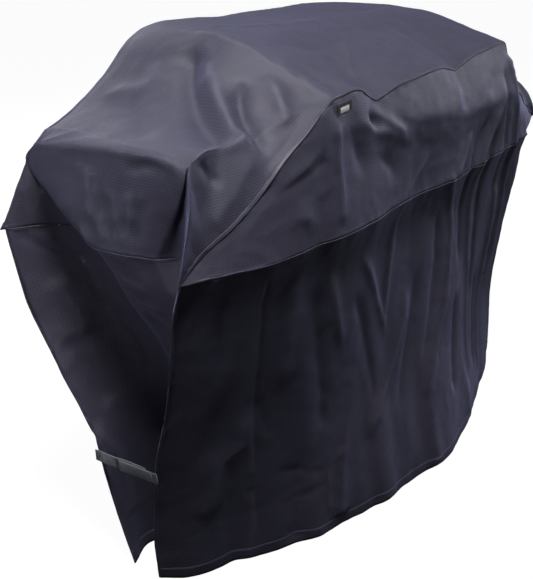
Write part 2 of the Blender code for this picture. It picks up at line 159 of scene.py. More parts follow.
# How far an upper panel stands out between the waist (0) and the cap seam (1)
BELLY = ((0.0, 0.0), (0.2, 0.003), (0.4, 0.009), (0.58, 0.018), (0.68, 0.022), (0.78, 0.017), (0.90, 0.008),
         (1.0, 0.0))
# Points of the cloth between those eight places, and in the wings beyond the two ridges
END_COUNTS = (12, 12, 12, 16, 16, 18, 16)
WING_COUNT = 16


# ---------------------------------------------------------------- curves

def table_curve(table, values):
    """Smooth curve through a table of (place, value), read at the given places."""
    xs = np.array([row[0] for row in table], dtype=float)
    ys = np.array([row[1] for row in table], dtype=float)
    slopes = np.gradient(ys, xs)
    values = np.clip(np.asarray(values, dtype=float), xs[0], xs[-1])
    i = np.clip(np.searchsorted(xs, values, side="right") - 1, 0, len(xs) - 2)
    h = xs[i + 1] - xs[i]
    t = (values - xs[i]) / h
    return ((2 * t ** 3 - 3 * t ** 2 + 1) * ys[i] + (t ** 3 - 2 * t ** 2 + t) * h * slopes[i]
            + (3 * t ** 2 - 2 * t ** 3) * ys[i + 1] + (t ** 3 - t ** 2) * h * slopes[i + 1])


def smooth_step(low, high, values):
    t = np.clip((np.asarray(values, dtype=float) - low) / (high - low), 0.0, 1.0)
    return t * t * (3 - 2 * t)


def through(knots, counts):
    """Catmull-Rom curve through the knots, with the given number of steps in each span."""
    knots = np.asarray(knots, dtype=float)
    padded = np.vstack((2 * knots[0] - knots[1], knots, 2 * knots[-1] - knots[-2]))
    out = []
    for i, count in enumerate(counts):
        a, b, c, d = padded[i:i + 4]
        t = np.linspace(0.0, 1.0, count, endpoint=False)[:, None]
        out.append(0.5 * (2 * b + (c - a) * t + (2 * a - 5 * b + 4 * c - d) * t ** 2
                          + (3 * b - a - 3 * c + d) * t ** 3))
    return np.vstack(out + [knots[-1:]])


# ---------------------------------------------------------------- seam lines

def cap_z(x):
    x = np.asarray(x, dtype=float)
    return np.where(x < 0, table_curve(CAP_LEFT, np.abs(x)), table_curve(CAP_RIGHT, np.abs(x)))


def cap_line(x, side):
    """The front (-1) or back (+1) cap seam at the widths x."""
    x = np.asarray(x, dtype=float)
    lid_y, ear_y = (LID_FRONT_Y, FRONT_EAR_Y) if side < 0 else (LID_BACK_Y, BACK_EAR_Y)
    down = smooth_step(LID_X, EAR_X, np.abs(x)) ** 1.5
    y = lid_y + (ear_y - lid_y) * down
    if side > 0:
        y = y + 0.016 * smooth_step(0.55, 0.72, np.abs(x)) * (1 - smooth_step(0.72, EAR_X, np.abs(x)))
    return np.stack((x, y, cap_z(x)), axis=-1)


def skirt_y(x, z, side):
    """Depth of the front or back of the cover at width x and height z, up to the waist."""
    x, z = np.broadcast_arrays(np.asarray(x, dtype=float), np.asarray(z, dtype=float))
    up = np.clip(z / WAIST_Z, 0.0, 1.0)
    if side < 0:
        corner = table_curve(FRONT_CORNER, z)
        hem = table_curve(FRONT_HEM, x) - table_curve(FRONT_HEM, np.full_like(x, EAR_X))
        waist = table_curve(FRONT_WAIST, x) - table_curve(FRONT_WAIST, np.full_like(x, EAR_X))
        return corner + hem + (waist - hem) * smooth_step(0.0, 1.0, up) ** 0.9
    corner = table_curve(BACK_CORNER, z)
    middle = BACK_HEM_Y + (BACK_WAIST_Y - BACK_HEM_Y) * up
    power = HEM_POWER + (WAIST_POWER - HEM_POWER) * up
    return corner + (middle - corner) * (1 - (np.abs(x) / EAR_X) ** power)


# ---------------------------------------------------------------- the strip

STRIP_SPANS = (WING_COUNT,) + END_COUNTS + (WING_COUNT,)


def strip_knots(x):
    """Ten places across the strip at width x, from the front cap seam to the back one."""
    a = abs(x)
    out = float(np.clip((a - LID_X) / (SHELF_X - LID_X), 0.0, 1.0))
    front, back = cap_line(x, -1), cap_line(x, 1)
    lean = float(smooth_step(0.15, LID_X, a) * (1 - smooth_step(LID_X, 0.62, a)))
    crest = float(table_curve(CREST, a)) - math.copysign(LID_LEAN, x) * lean
    crest -= RIGHT_SAG * float(smooth_step(LID_X, 0.50, x)) * (1.6 - 0.6 * float(smooth_step(0.50, SHELF_X,
                                                                                             x)))
    rise = crest - front[2]
    lid = ((x, -0.205, front[2] + 0.14 * rise), (x, -0.158, front[2] + 0.34 * rise),
           (x, -0.090, front[2] + 0.66 * rise),
           (x, -0.010, front[2] + 0.93 * rise), (x, 0.060, crest), (x, 0.150, crest),
           (x, 0.222, crest - 0.004), (x, 0.250, crest - 0.020))
    edge_z = SHELF_Z - RIGHT_SAG * (x > 0)
    shelf = ((x, -0.146, edge_z), (x, -0.140, edge_z + 0.003), (x, -0.100, edge_z + 0.001),
             (x, 0.020, edge_z + 0.001),
             (x, 0.130, edge_z), (x, 0.222, edge_z - 0.003), (x, 0.243, edge_z - 0.010), (x, 0.258,
                                                                                          edge_z - 0.022))
    dip = -0.20 * out * (1 - out) ** 2
    crown = crest - (LID_TOP_Z + (edge_z - LID_TOP_Z) * out)
    middle = [np.array(p) + (np.array(q) - np.array(p)) * out for p, q in zip(lid_at_edge(lid), shelf)]
    for point, lift in zip(middle, (dip, 0.8 * dip + 0.3 * crown, 0.4 * dip + 0.7 * crown) + (crown,) * 5):
        point[2] += lift
    return np.vstack((front, lid if out <= 0 else middle, back))


def lid_at_edge(lid):
    """The lid's section with the crest heights of its edge, from which the shoulder falls."""
    shares = (0.14, 0.34, 0.66, 0.93, 1.0, 1.0)
    out = [(x, y, LID_SEAM_Z + share * (LID_TOP_Z - LID_SEAM_Z)) for (x, y, _), share in zip(lid, shares)]
    return out + [(lid[6][0], lid[6][1], LID_TOP_Z - 0.004), (lid[7][0], lid[7][1], LID_TOP_Z - 0.020)]


def end_knots(share, x_edge):
    """The same ten places on the left end face, share of the way up from the waist."""
    rows = (FRONT_RIDGE, FRONT_VALLEY, VALLEY_LIP, END_MIDDLE, OUTER_FOLD, HIDDEN_VALLEY, BACK_FLAP,
            BACK_RIDGE)
    places = [[float(table_curve(tuple(zip(END_SHARES, axis)), share)) for axis in zip(*row)] for row in rows]
    return np.vstack((cap_line(x_edge, -1), places, cap_line(x_edge, 1)))


def strip_grid():
    """Rows of points along the strip, from the left waist over the lid to the right waist."""
    shares = edge_shares()
    edge_x = EAR_X - (EAR_X - SHELF_X) * shares
    left = [end_knots(s, -x) for s, x in zip(shares, edge_x)]
    right = []
    for share, x in zip(shares, edge_x):
        row = end_knots(share, -x) * (-1, 1, 1)
        row[:, 2] -= RIGHT_SAG * share ** 1.3
        row[0], row[-1] = cap_line(x, -1), cap_line(x, 1)
        right.append(row)
    middle = [strip_knots(x) for x in x_stations() if abs(x) <= SHELF_X - 0.012]
    return np.array([through(knots, STRIP_SPANS) for knots in left + middle + right[::-1]])


def edge_shares():
    """Shares of the way up the end face for the strip's rows there, from the waist."""
    return np.linspace(0.0, 1.0, EDGE_ROWS)


def x_stations():
    """Widths of the columns shared by the strip, the upper panels and the skirts."""
    inner = np.linspace(-SHELF_X + 0.014, SHELF_X - 0.014, INNER_COLUMNS)
    edge = EAR_X - (EAR_X - SHELF_X) * edge_shares()
    return np.concatenate((-edge, inner, edge[::-1]))


# ---------------------------------------------------------------- the welded cloth

def corners(grid):
    """The four corners of every square of a grid, in turn."""
    around = (grid[:-1, :-1], grid[:-1, 1:], grid[1:, 1:], grid[1:, :-1])
    return np.stack(around, axis=-1).reshape(-1, 4)


class Cloth:
    """Grids of points for all panels, welded where they share a seam."""

    def __init__(self):
        self.points, self.faces, self.panel, self.weave = [], [], [], []
        self.names, self.grids = [], {}
        self.count = 0

    def add(self, name, grid):
        rows, columns = grid.shape[:2]
        index = np.arange(rows * columns).reshape(rows, columns) + self.count
        quads = corners(index)
        self.points.append(grid.reshape(-1, 3))
        self.faces.append(quads)
        self.panel.append(np.full(len(quads), len(self.names)))
        self.weave.append(weave_places(grid).reshape(-1, 2))
        self.names.append(name)
        self.grids[name] = index
        self.count += rows * columns

    def weld(self):
        points = np.vstack(self.points)
        keys = np.round(points / 4e-5).astype(np.int64)
        _, first, inverse = np.unique(keys, axis=0, return_index=True, return_inverse=True)
        inverse = inverse.reshape(-1)
        self.places = points[first]
        self.faces = inverse[np.vstack(self.faces)]
        self.corner_weave = np.vstack(self.weave)
        self.raw_grids = self.grids
        self.panel = np.concatenate(self.panel)
        self.grids = {name: inverse[index] for name, index in self.raw_grids.items()}

    def neighbours(self):
        edges = np.vstack([self.faces[:, [k, (k + 1) % 4]] for k in range(4)])
        edges = edges[edges[:, 0] != edges[:, 1]]
        return np.unique(np.sort(edges, axis=1), axis=0)

    def smoothed(self, values, rounds, strength=0.5):
        """The values after being averaged with their neighbours along the cloth."""
        edges = self.neighbours()
        degree = np.bincount(edges.ravel(), minlength=len(self.places))[:, None]
        values = values.copy()
        for _ in range(rounds):
            total = np.zeros_like(values)
            np.add.at(total, edges[:, 0], values[edges[:, 1]])
            np.add.at(total, edges[:, 1], values[edges[:, 0]])
            values += (total / np.maximum(degree, 1) - values) * strength
        return values


def weave_places(grid):
    """Distances in metres along and across a grid from its middle, which the weave follows."""
    along, across = np.zeros(grid.shape[:2]), np.zeros(grid.shape[:2])
    along[1:] = np.cumsum(np.linalg.norm(np.diff(grid, axis=0), axis=2), axis=0)
    across[:, 1:] = np.cumsum(np.linalg.norm(np.diff(grid, axis=1), axis=2), axis=1)
    along -= along[len(along) // 2].copy()
    across -= across[:, across.shape[1] // 2].copy()[:, None]
    return np.stack((along, across), axis=-1)


def build_cloth():
    cloth = Cloth()
    strip = strip_grid()
    cloth.add("top_strip", strip)
    xs = x_stations()
    levels = np.concatenate((np.linspace(0.0, SKIRT_SPLIT, LOW_ROWS),
                             np.linspace(SKIRT_SPLIT, WAIST_Z, HIGH_ROWS)[1:]))
    skirts = {}
    for name, side in zip(FACES, (-1, 1)):
        cap = strip[:, 0] if side < 0 else strip[:, -1]
        waist = np.stack((xs, skirt_y(xs, WAIST_Z, side), np.full_like(xs, WAIST_Z)), axis=1)
        waist[0], waist[-1] = cap[0], cap[-1]
        upper = upper_grid(waist, cap, side)
        skirt = np.array([np.stack((xs, skirt_y(xs, z, side), np.full_like(xs, z)), axis=1) for z in levels])
        lift = smooth_step(0.60, WAIST_Z, levels)[:, None]
        skirt[:, 0] += lift * (waist[0] - skirt[-1, 0])
        skirt[:, -1] += lift * (waist[-1] - skirt[-1, -1])
        skirt[-1] = waist
        cloth.add(name + "_upper_panel", upper)
        cloth.add(name + "_lower_panel", skirt)
        skirts[name] = skirt
    inner = slice(WING_COUNT, strip.shape[1] - WING_COUNT)
    for name, side, edge in zip(ENDS, (-1, 1), (0, -1)):
        gusset = gusset_grid(levels, side)
        gusset[-1] = strip[edge, inner]
        gusset[:, 0] = skirts["front"][:, edge]
        gusset[:, -1] = skirts["back"][:, edge]
        cloth.add(name + "_lower_panel", gusset)
    cloth.weld()
    return cloth


def upper_grid(waist, cap, side):
    """An upper panel: columns from the waist to the cap seam, leaning out just below the lid."""
    x = waist[:, 0]
    height = np.clip((cap[:, 2] - waist[:, 2]) / 0.25, 0, 1)
    shoulder = table_curve(((-0.8, 0.76), (-0.32, 0.75), (-0.15, 0.72), (0.035, 0.65), (0.37, 0.55),
                            (0.8, 0.55)), x)
    amount = table_curve(((-0.8, 0.1), (-0.32, 0.35), (-0.10, 0.85), (0.30, 1.1), (0.45, 0.8), (0.8, 0.3)), x)
    rows = []
    for t in np.linspace(0.0, 1.0, UPPER_ROWS):
        row = waist + (cap - waist) * t
        shifted = t ** (np.log(0.68) / np.log(shoulder))
        row[:, 1] += side * amount * height * table_curve(BELLY, shifted)
        rows.append(row)
    return np.array(rows)


def gusset_grid(levels, side):
    plans = np.array([through(points, END_COUNTS) for _, points in GUSSET_PLANS])
    heights = [z for z, _ in GUSSET_PLANS]
    flat = plans.reshape(len(heights), -1)
    rows = np.stack([table_curve(tuple(zip(heights, flat[:, k])), levels) for k in range(flat.shape[1])],
                    axis=1)
    rows = rows.reshape(len(levels), -1, 2)
    grid = np.concatenate((rows, np.broadcast_to(levels[:, None, None], rows.shape[:2] + (1,))), axis=2)
    return grid * (-side, 1, 1)


# ---------------------------------------------------------------- folds

class Folds:
    """Pushes folds into the welded cloth along its own normals."""

    def __init__(self, cloth):
        self.cloth = cloth
        self.member = {}
        for k, name in enumerate(cloth.names):
            inside = np.zeros(len(cloth.places), dtype=bool)
            inside[cloth.faces[cloth.panel == k].ravel()] = True
            self.member[name] = inside
        self.push = np.zeros(len(cloth.places))
        self.normal = outward_normals(cloth)

    def members(self, panels):
        return np.any([self.member[name] for name in panels], axis=0)

    def near(self, panels, line, reach):
        """The cloth's points within reach of a line, with their distance and their place along it."""
        inside = self.members(panels)
        low, high = line.min(axis=0) - reach, line.max(axis=0) + reach
        places = self.cloth.places
        inside &= np.all((places > low) & (places < high), axis=1)
        index = np.nonzero(inside)[0]
        gap = np.full(len(index), 1e9)
        run = np.zeros(len(index))
        done = distances(line)
        for part in range(0, len(index), 4000):
            chunk = index[part:part + 4000]
            apart = np.linalg.norm(places[chunk][:, None] - line[None], axis=2)
            nearest = apart.argmin(axis=1)
            gap[part:part + 4000] = apart[np.arange(len(chunk)), nearest]
            run[part:part + 4000] = done[nearest]
        return index, gap, run, done[-1]

    def crease(self, panels, points, width, depth, sharp=False, ends=0.05):
        """A fold out (positive depth) or in (negative), fading over ends: one length, or start and finish."""
        start, finish = ends if isinstance(ends, tuple) else (ends, ends)
        line = self.laid(panels, points)
        index, gap, run, length = self.near(panels, line, 3.2 * width)
        fade = smooth_step(0, start, run) * smooth_step(0, finish, length - run)
        shape = np.exp(-gap / width) if sharp else np.exp(-(gap / width) ** 1.45)
        self.push[index] += depth * shape * fade

    def laid(self, panels, points):
        """The points joined by a smooth line that lies on the cloth."""
        points = np.asarray(points, dtype=float)
        counts = [max(2, int(np.linalg.norm(b - a) / 0.004)) for a, b in zip(points[:-1], points[1:])]
        line = through(points, counts)
        places = self.cloth.places[self.members(panels)]
        out = np.array([places[np.argmin(np.sum((places - p) ** 2, axis=1))] for p in line[::2]])
        if len(out) < 3:
            return out
        for _ in range(3):
            out[1:-1] = (out[:-2] + 2 * out[1:-1] + out[2:]) / 4
        fine = np.linspace(0, len(out) - 1, 3 * len(out))
        return np.stack([np.interp(fine, np.arange(len(out)), out[:, k]) for k in range(3)], axis=1)

    def soften(self, panels, points, width, rounds):
        """Rounds off the cloth along a line, where a form under it is blunt."""
        line = self.laid(panels, points)
        index, gap, _, _ = self.near(panels, line, 2.5 * width)
        smooth = self.cloth.smoothed(self.cloth.places, rounds)
        share = np.exp(-(gap / width) ** 2)[:, None]
        self.cloth.places[index] += share * (smooth[index] - self.cloth.places[index])

    def pucker(self, panels, line, reach, height, pitch, seed):
        """Short wrinkles across a seam, drawn up by its stitches."""
        index, gap, run, _ = self.near(panels, line, 3 * reach)
        wave = np.array([noise.noise(Vector((r / pitch, seed, 0.0))) for r in run])
        self.push[index] += height * wave * np.exp(-gap / reach) * smooth_step(0, 0.004, gap)

    def ripple(self, panels, size, height, seed, stretch=(1.0, 1.0, 1.0), ridged=False):
        """Uneven rise and fall of the cloth, of the given size."""
        index = np.nonzero(self.members(panels))[0]
        places = self.cloth.places[index] / (np.array(stretch) * size)
        values = np.array([noise.noise(Vector((p[0] + seed, p[1] + 1.7 * seed,
                                               p[2] - seed))) for p in places])
        if ridged:
            values = 0.5 - np.abs(values) * 2.0
        self.push[index] += height * values

    def apply(self):
        self.cloth.places += self.normal * self.push[:, None]
        self.push[:] = 0.0
        self.normal = outward_normals(self.cloth)


PANEL_SIGN = {}


def face_normals(cloth, k):
    """A panel's faces and their normals, as long as twice their area."""
    p, faces = cloth.places, cloth.faces[cloth.panel == k]
    return faces, np.cross(p[faces[:, 2]] - p[faces[:, 0]], p[faces[:, 3]] - p[faces[:, 1]])


def side_normals(cloth):
    """For each panel, what its faces add to the normals of the cloth's points."""
    out = {}
    for k, name in enumerate(cloth.names):
        faces, flat = face_normals(cloth, k)
        out[name] = np.zeros_like(cloth.places)
        for c in range(4):
            np.add.at(out[name], faces[:, c], flat * PANEL_SIGN[name])
    return out


def unit(vectors):
    return vectors / np.maximum(np.linalg.norm(vectors, axis=1), 1e-12)[:, None]


def outward_normals(cloth):
    """Vertex normals that point out of the cover on every panel."""
    return unit(sum(side_normals(cloth).values()))


def settle_signs(cloth):
    """Works out which way each panel's grid faces, from places known to be outside."""
    outside = {"top_strip": (0, 0, 3), "front_upper_panel": (0, -3, 0.8), "front_lower_panel": (0, -3, 0.4),
               "back_upper_panel": (0, 3, 0.8), "back_lower_panel": (0, 3, 0.4),
               "left_lower_panel": (-3, 0, 0.4), "right_lower_panel": (3, 0, 0.4)}
    for k, name in enumerate(cloth.names):
        faces, flat = face_normals(cloth, k)
        PANEL_SIGN[name] = 1 if np.sum(flat * (np.array(outside[name]) - cloth.places[faces[:,
                                                                                            0]])) > 0 else -1


def mirrored(points, shift=0.0):
    """The same line on the other end, moved a little along the end so the two differ."""
    return [(-x, y + shift, z) for x, y, z in points]


def fold_cloth(cloth):
    folds = Folds(cloth)
    folds.soften(TOP, ((-0.685, -0.150, 0.898), (-0.62, -0.165, 0.905), (-0.52, -0.185, 0.93),
                       (-0.42, -0.21, 0.96)),
                 0.030, 60)
    soft_shape(folds)
    folds.apply()
    lid_folds(folds)
    shoulder_folds(folds)
    end_folds(folds)
    front_folds(folds)
    back_folds(folds)
    folds.apply()
    seam_puckers(folds)
    crumple(folds)
    folds.apply()


def soft_shape(folds):
    """Slack of the cloth at the scale of a hand, the same everywhere."""
    every = list(folds.cloth.names)
    folds.ripple(every, 0.16, 0.0040, 3.1)
    folds.ripple(("front_lower_panel", "back_lower_panel"), 0.09, 0.0045, 8.3, stretch=(0.8, 0.8, 5.0))
    folds.ripple(("front_upper_panel", "back_upper_panel"), 0.07, 0.0022, 5.7, stretch=(1.0, 1.0, 2.0))
    folds.ripple(TOP, 0.09, 0.0022, 12.4)
    folds.ripple(("left_lower_panel", "right_lower_panel"), 0.08, 0.004, 21.0, stretch=(1.0, 1.0, 2.0))


TOP = ("top_strip",)


def lid_folds(folds):
    """Creases on the lid's top: its two edges, packing folds and slack."""
    folds.crease(TOP, ((-0.405, 0.10, 1.06), (-0.409, 0.044, 1.06), (-0.411, -0.035, 1.046),
                       (-0.402, -0.137, 1.004),
                       (-0.396, -0.222, 0.968)), 0.009, 0.0045, sharp=True)
    folds.crease(TOP, ((0.40, 0.20, 1.035), (0.398, 0.02, 1.02), (0.400, -0.10, 1.00),
                       (0.400, -0.225, 0.962)),
                 0.010, 0.005, sharp=True)
    folds.crease(TOP, ((-0.03, 0.02, 1.05), (-0.02, -0.108, 1.018), (0.018, -0.225, 0.960)), 0.008, -0.0022,
                 sharp=True)
    folds.crease(TOP, ((-0.386, 0.095, 1.06), (-0.308, 0.052, 1.055), (-0.138, 0.018, 1.05),
                       (-0.007, 0.026, 1.05)),
                 0.012, 0.0028)
    folds.crease(TOP, ((-0.36, -0.05, 1.04), (-0.22, -0.09, 1.02), (-0.10, -0.07, 1.03)), 0.016, -0.003)
    folds.crease(TOP, ((-0.30, -0.225, 0.972), (-0.25, -0.17, 0.985), (-0.19, -0.10, 1.015)), 0.014, -0.004)
    folds.crease(TOP, ((-0.235, -0.23, 0.945), (-0.20, -0.16, 0.985), (-0.12, -0.08, 1.02)), 0.012, 0.0035)
    folds.crease(TOP, ((0.11, -0.23, 0.945), (0.10, -0.15, 0.99), (0.06, -0.06, 1.03)), 0.014, 0.004)
    folds.crease(TOP, ((0.17, -0.22, 0.955), (0.19, -0.12, 1.0), (0.17, 0.0, 1.045)), 0.016, -0.004)
    folds.crease(TOP, ((0.33, -0.22, 0.965), (0.30, -0.10, 1.01), (0.22, 0.03, 1.045)), 0.016, 0.003)
    folds.crease(TOP, ((0.02, 0.09, 1.055), (0.16, 0.03, 1.05), (0.34, 0.05, 1.04)), 0.014, -0.003)
    folds.crease(TOP, ((-0.33, -0.232, 0.967), (-0.35, -0.17, 0.98), (-0.37, -0.11, 1.0)), 0.006, -0.0025)
    folds.crease(TOP, ((-0.36, -0.232, 0.966), (-0.375, -0.18, 0.975), (-0.384, -0.13, 1.0)), 0.006, 0.002)


def shoulder_folds(folds):
    """Valleys and ridges on the two slopes beside the lid."""
    wide = ((-0.431, 0.081, 1.051), (-0.471, 0.053, 1.022), (-0.512, 0.016, 0.989), (-0.554, -0.038, 0.953),
            (-0.588, -0.104, 0.926), (-0.611, -0.167, 0.90))
    ridge = ((-0.465, 0.012, 1.026), (-0.502, -0.033, 0.986), (-0.537, -0.089, 0.95), (-0.569, -0.159, 0.917),
             (-0.558, -0.194, 0.885))
    narrow = ((-0.462, -0.075, 0.999), (-0.50, -0.098, 0.965), (-0.527, -0.14, 0.934),
              (-0.546, -0.185, 0.902),
              (-0.548, -0.213, 0.872))
    for points, width, depth in ((wide, 0.032, -0.030), (ridge, 0.020, 0.015), (narrow, 0.018, -0.021)):
        folds.crease(TOP, points, width, depth, ends=0.06)
        folds.crease(TOP, mirrored(points, 0.02), width, 0.6 * depth, ends=0.08)
    folds.crease(TOP, ((-0.429, -0.105, 1.005), (-0.452, -0.158, 0.958), (-0.488, -0.203, 0.914)), 0.020,
                 0.013)
    folds.crease(TOP, ((-0.685, -0.150, 0.892), (-0.668, -0.157, 0.887), (-0.661, -0.168, 0.863),
                       (-0.642, -0.182, 0.844)),
                 0.008, -0.008, ends=0.02)
    folds.crease(TOP, ((-0.60, -0.12, 0.925), (-0.66, -0.17, 0.87), (-0.72, -0.19, 0.79)), 0.022, -0.006)
    folds.crease(TOP, ((-0.55, -0.19, 0.915), (-0.62, -0.205, 0.86), (-0.70, -0.20, 0.78)), 0.018, 0.005)
    folds.crease(TOP, ((-0.45, -0.215, 0.935), (-0.52, -0.215, 0.895), (-0.58, -0.21, 0.86)), 0.010, -0.003)
    folds.crease(TOP, ((-0.58, 0.20, 0.945), (-0.52, 0.10, 0.965), (-0.47, 0.13, 1.0)), 0.020, 0.006)
    folds.crease(TOP, ((-0.66, -0.02, 0.905), (-0.62, 0.06, 0.925), (-0.56, 0.14, 0.955)), 0.022, -0.006)
    # the shelf's edges
    edge = ((-0.706, -0.130, 0.897), (-0.712, -0.05, 0.899), (-0.713, 0.05, 0.896), (-0.714, 0.15, 0.893),
            (-0.712, 0.215, 0.885))
    folds.crease(TOP, edge, 0.012, 0.0035, sharp=True, ends=0.03)
    folds.crease(TOP, ((0.706, -0.130, 0.822), (0.713, 0.05, 0.821), (0.712, 0.215, 0.812)), 0.012, 0.0035,
                 sharp=True, ends=0.03)
    folds.crease(TOP, ((-0.41, -0.21, 0.965), (-0.53, -0.187, 0.945), (-0.64, -0.158, 0.918),
                       (-0.700, -0.146, 0.896)), 0.012, 0.003, ends=0.04)


def end_folds(folds):
    """Dents and drag lines on the two folded ends."""
    left, right = ("top_strip", "left_lower_panel"), ("top_strip", "right_lower_panel")
    marks = (
        # points, width, depth, and whether it is sharp
        (((-0.717, -0.004, 0.864), (-0.711, -0.066, 0.881), (-0.712, -0.092, 0.855)), 0.011, -0.0055, False),
        (((-0.721, -0.052, 0.821), (-0.732, -0.028, 0.753), (-0.730, -0.043, 0.722)), 0.011, -0.0045, False),
        (((-0.722, -0.020, 0.835), (-0.731, -0.010, 0.79), (-0.735, -0.020, 0.75)), 0.010, 0.0035, False),
        (((-0.724, 0.022, 0.836), (-0.731, -0.001, 0.791), (-0.738, 0.002, 0.733)), 0.009, -0.003, False),
        (((-0.736, 0.065, 0.778), (-0.744, 0.047, 0.724), (-0.747, 0.062, 0.706)), 0.010, 0.005, False),
        (((-0.728, 0.265, 0.813), (-0.745, 0.268, 0.775), (-0.752, 0.270, 0.745)), 0.007, -0.004, True),
        (((-0.715, 0.13, 0.88), (-0.72, 0.14, 0.85)), 0.020, -0.006, False),
        (((-0.725, 0.10, 0.86), (-0.735, 0.08, 0.80), (-0.74, 0.06, 0.74)), 0.013, 0.005, False),
        (((-0.735, 0.05, 0.82), (-0.74, 0.04, 0.77), (-0.742, 0.02, 0.72)), 0.010, -0.004, False),
        (((-0.735, -0.03, 0.78), (-0.74, -0.035, 0.74), (-0.74, -0.04, 0.70), (-0.735, -0.05, 0.65)), 0.014,
         -0.004, False),
        (((-0.74, 0.10, 0.75), (-0.742, 0.08, 0.72), (-0.742, 0.06, 0.69)), 0.012, 0.006, False),
        (((-0.745, 0.03, 0.66), (-0.742, -0.02, 0.63), (-0.738, -0.06, 0.62)), 0.010, 0.004, False),
        (((-0.745, 0.00, 0.60), (-0.742, -0.04, 0.585), (-0.735, -0.08, 0.58)), 0.012, 0.005, False),
        (((-0.75, -0.02, 0.555), (-0.745, -0.06, 0.535), (-0.735, -0.10, 0.53)), 0.010, -0.004, False),
        (((-0.72, 0.00, 0.47), (-0.73, -0.05, 0.45), (-0.74, -0.10, 0.44)), 0.014, 0.006, False),
        (((-0.772, 0.276, 0.691), (-0.74, 0.25, 0.668), (-0.721, 0.229, 0.649), (-0.674, 0.158, 0.622)),
         0.008, -0.004, True),
        (((-0.745, 0.262, 0.80), (-0.752, 0.268, 0.76)), 0.010, 0.006, False),
        (((-0.735, 0.255, 0.80), (-0.738, 0.252, 0.76), (-0.745, 0.25, 0.72)), 0.008, -0.004, False),
        (((-0.75, 0.20, 0.60), (-0.72, 0.17, 0.54), (-0.70, 0.15, 0.46)), 0.030, 0.009, False),
        (((-0.76, 0.18, 0.48), (-0.73, 0.13, 0.40), (-0.72, 0.08, 0.32)), 0.024, -0.007, False),
        (((-0.77, 0.10, 0.30), (-0.74, 0.07, 0.20), (-0.74, 0.03, 0.08)), 0.020, 0.006, False),
        (((-0.70, -0.06, 0.36), (-0.68, -0.05, 0.24), (-0.67, -0.06, 0.10)), 0.020, -0.006, False),
    )
    for points, width, depth, sharp in marks:
        folds.crease(left, points, width, depth, sharp=sharp, ends=0.03)
        folds.crease(right, mirrored(points, 0.012), width * 1.1, 0.8 * depth, sharp=sharp, ends=0.03)


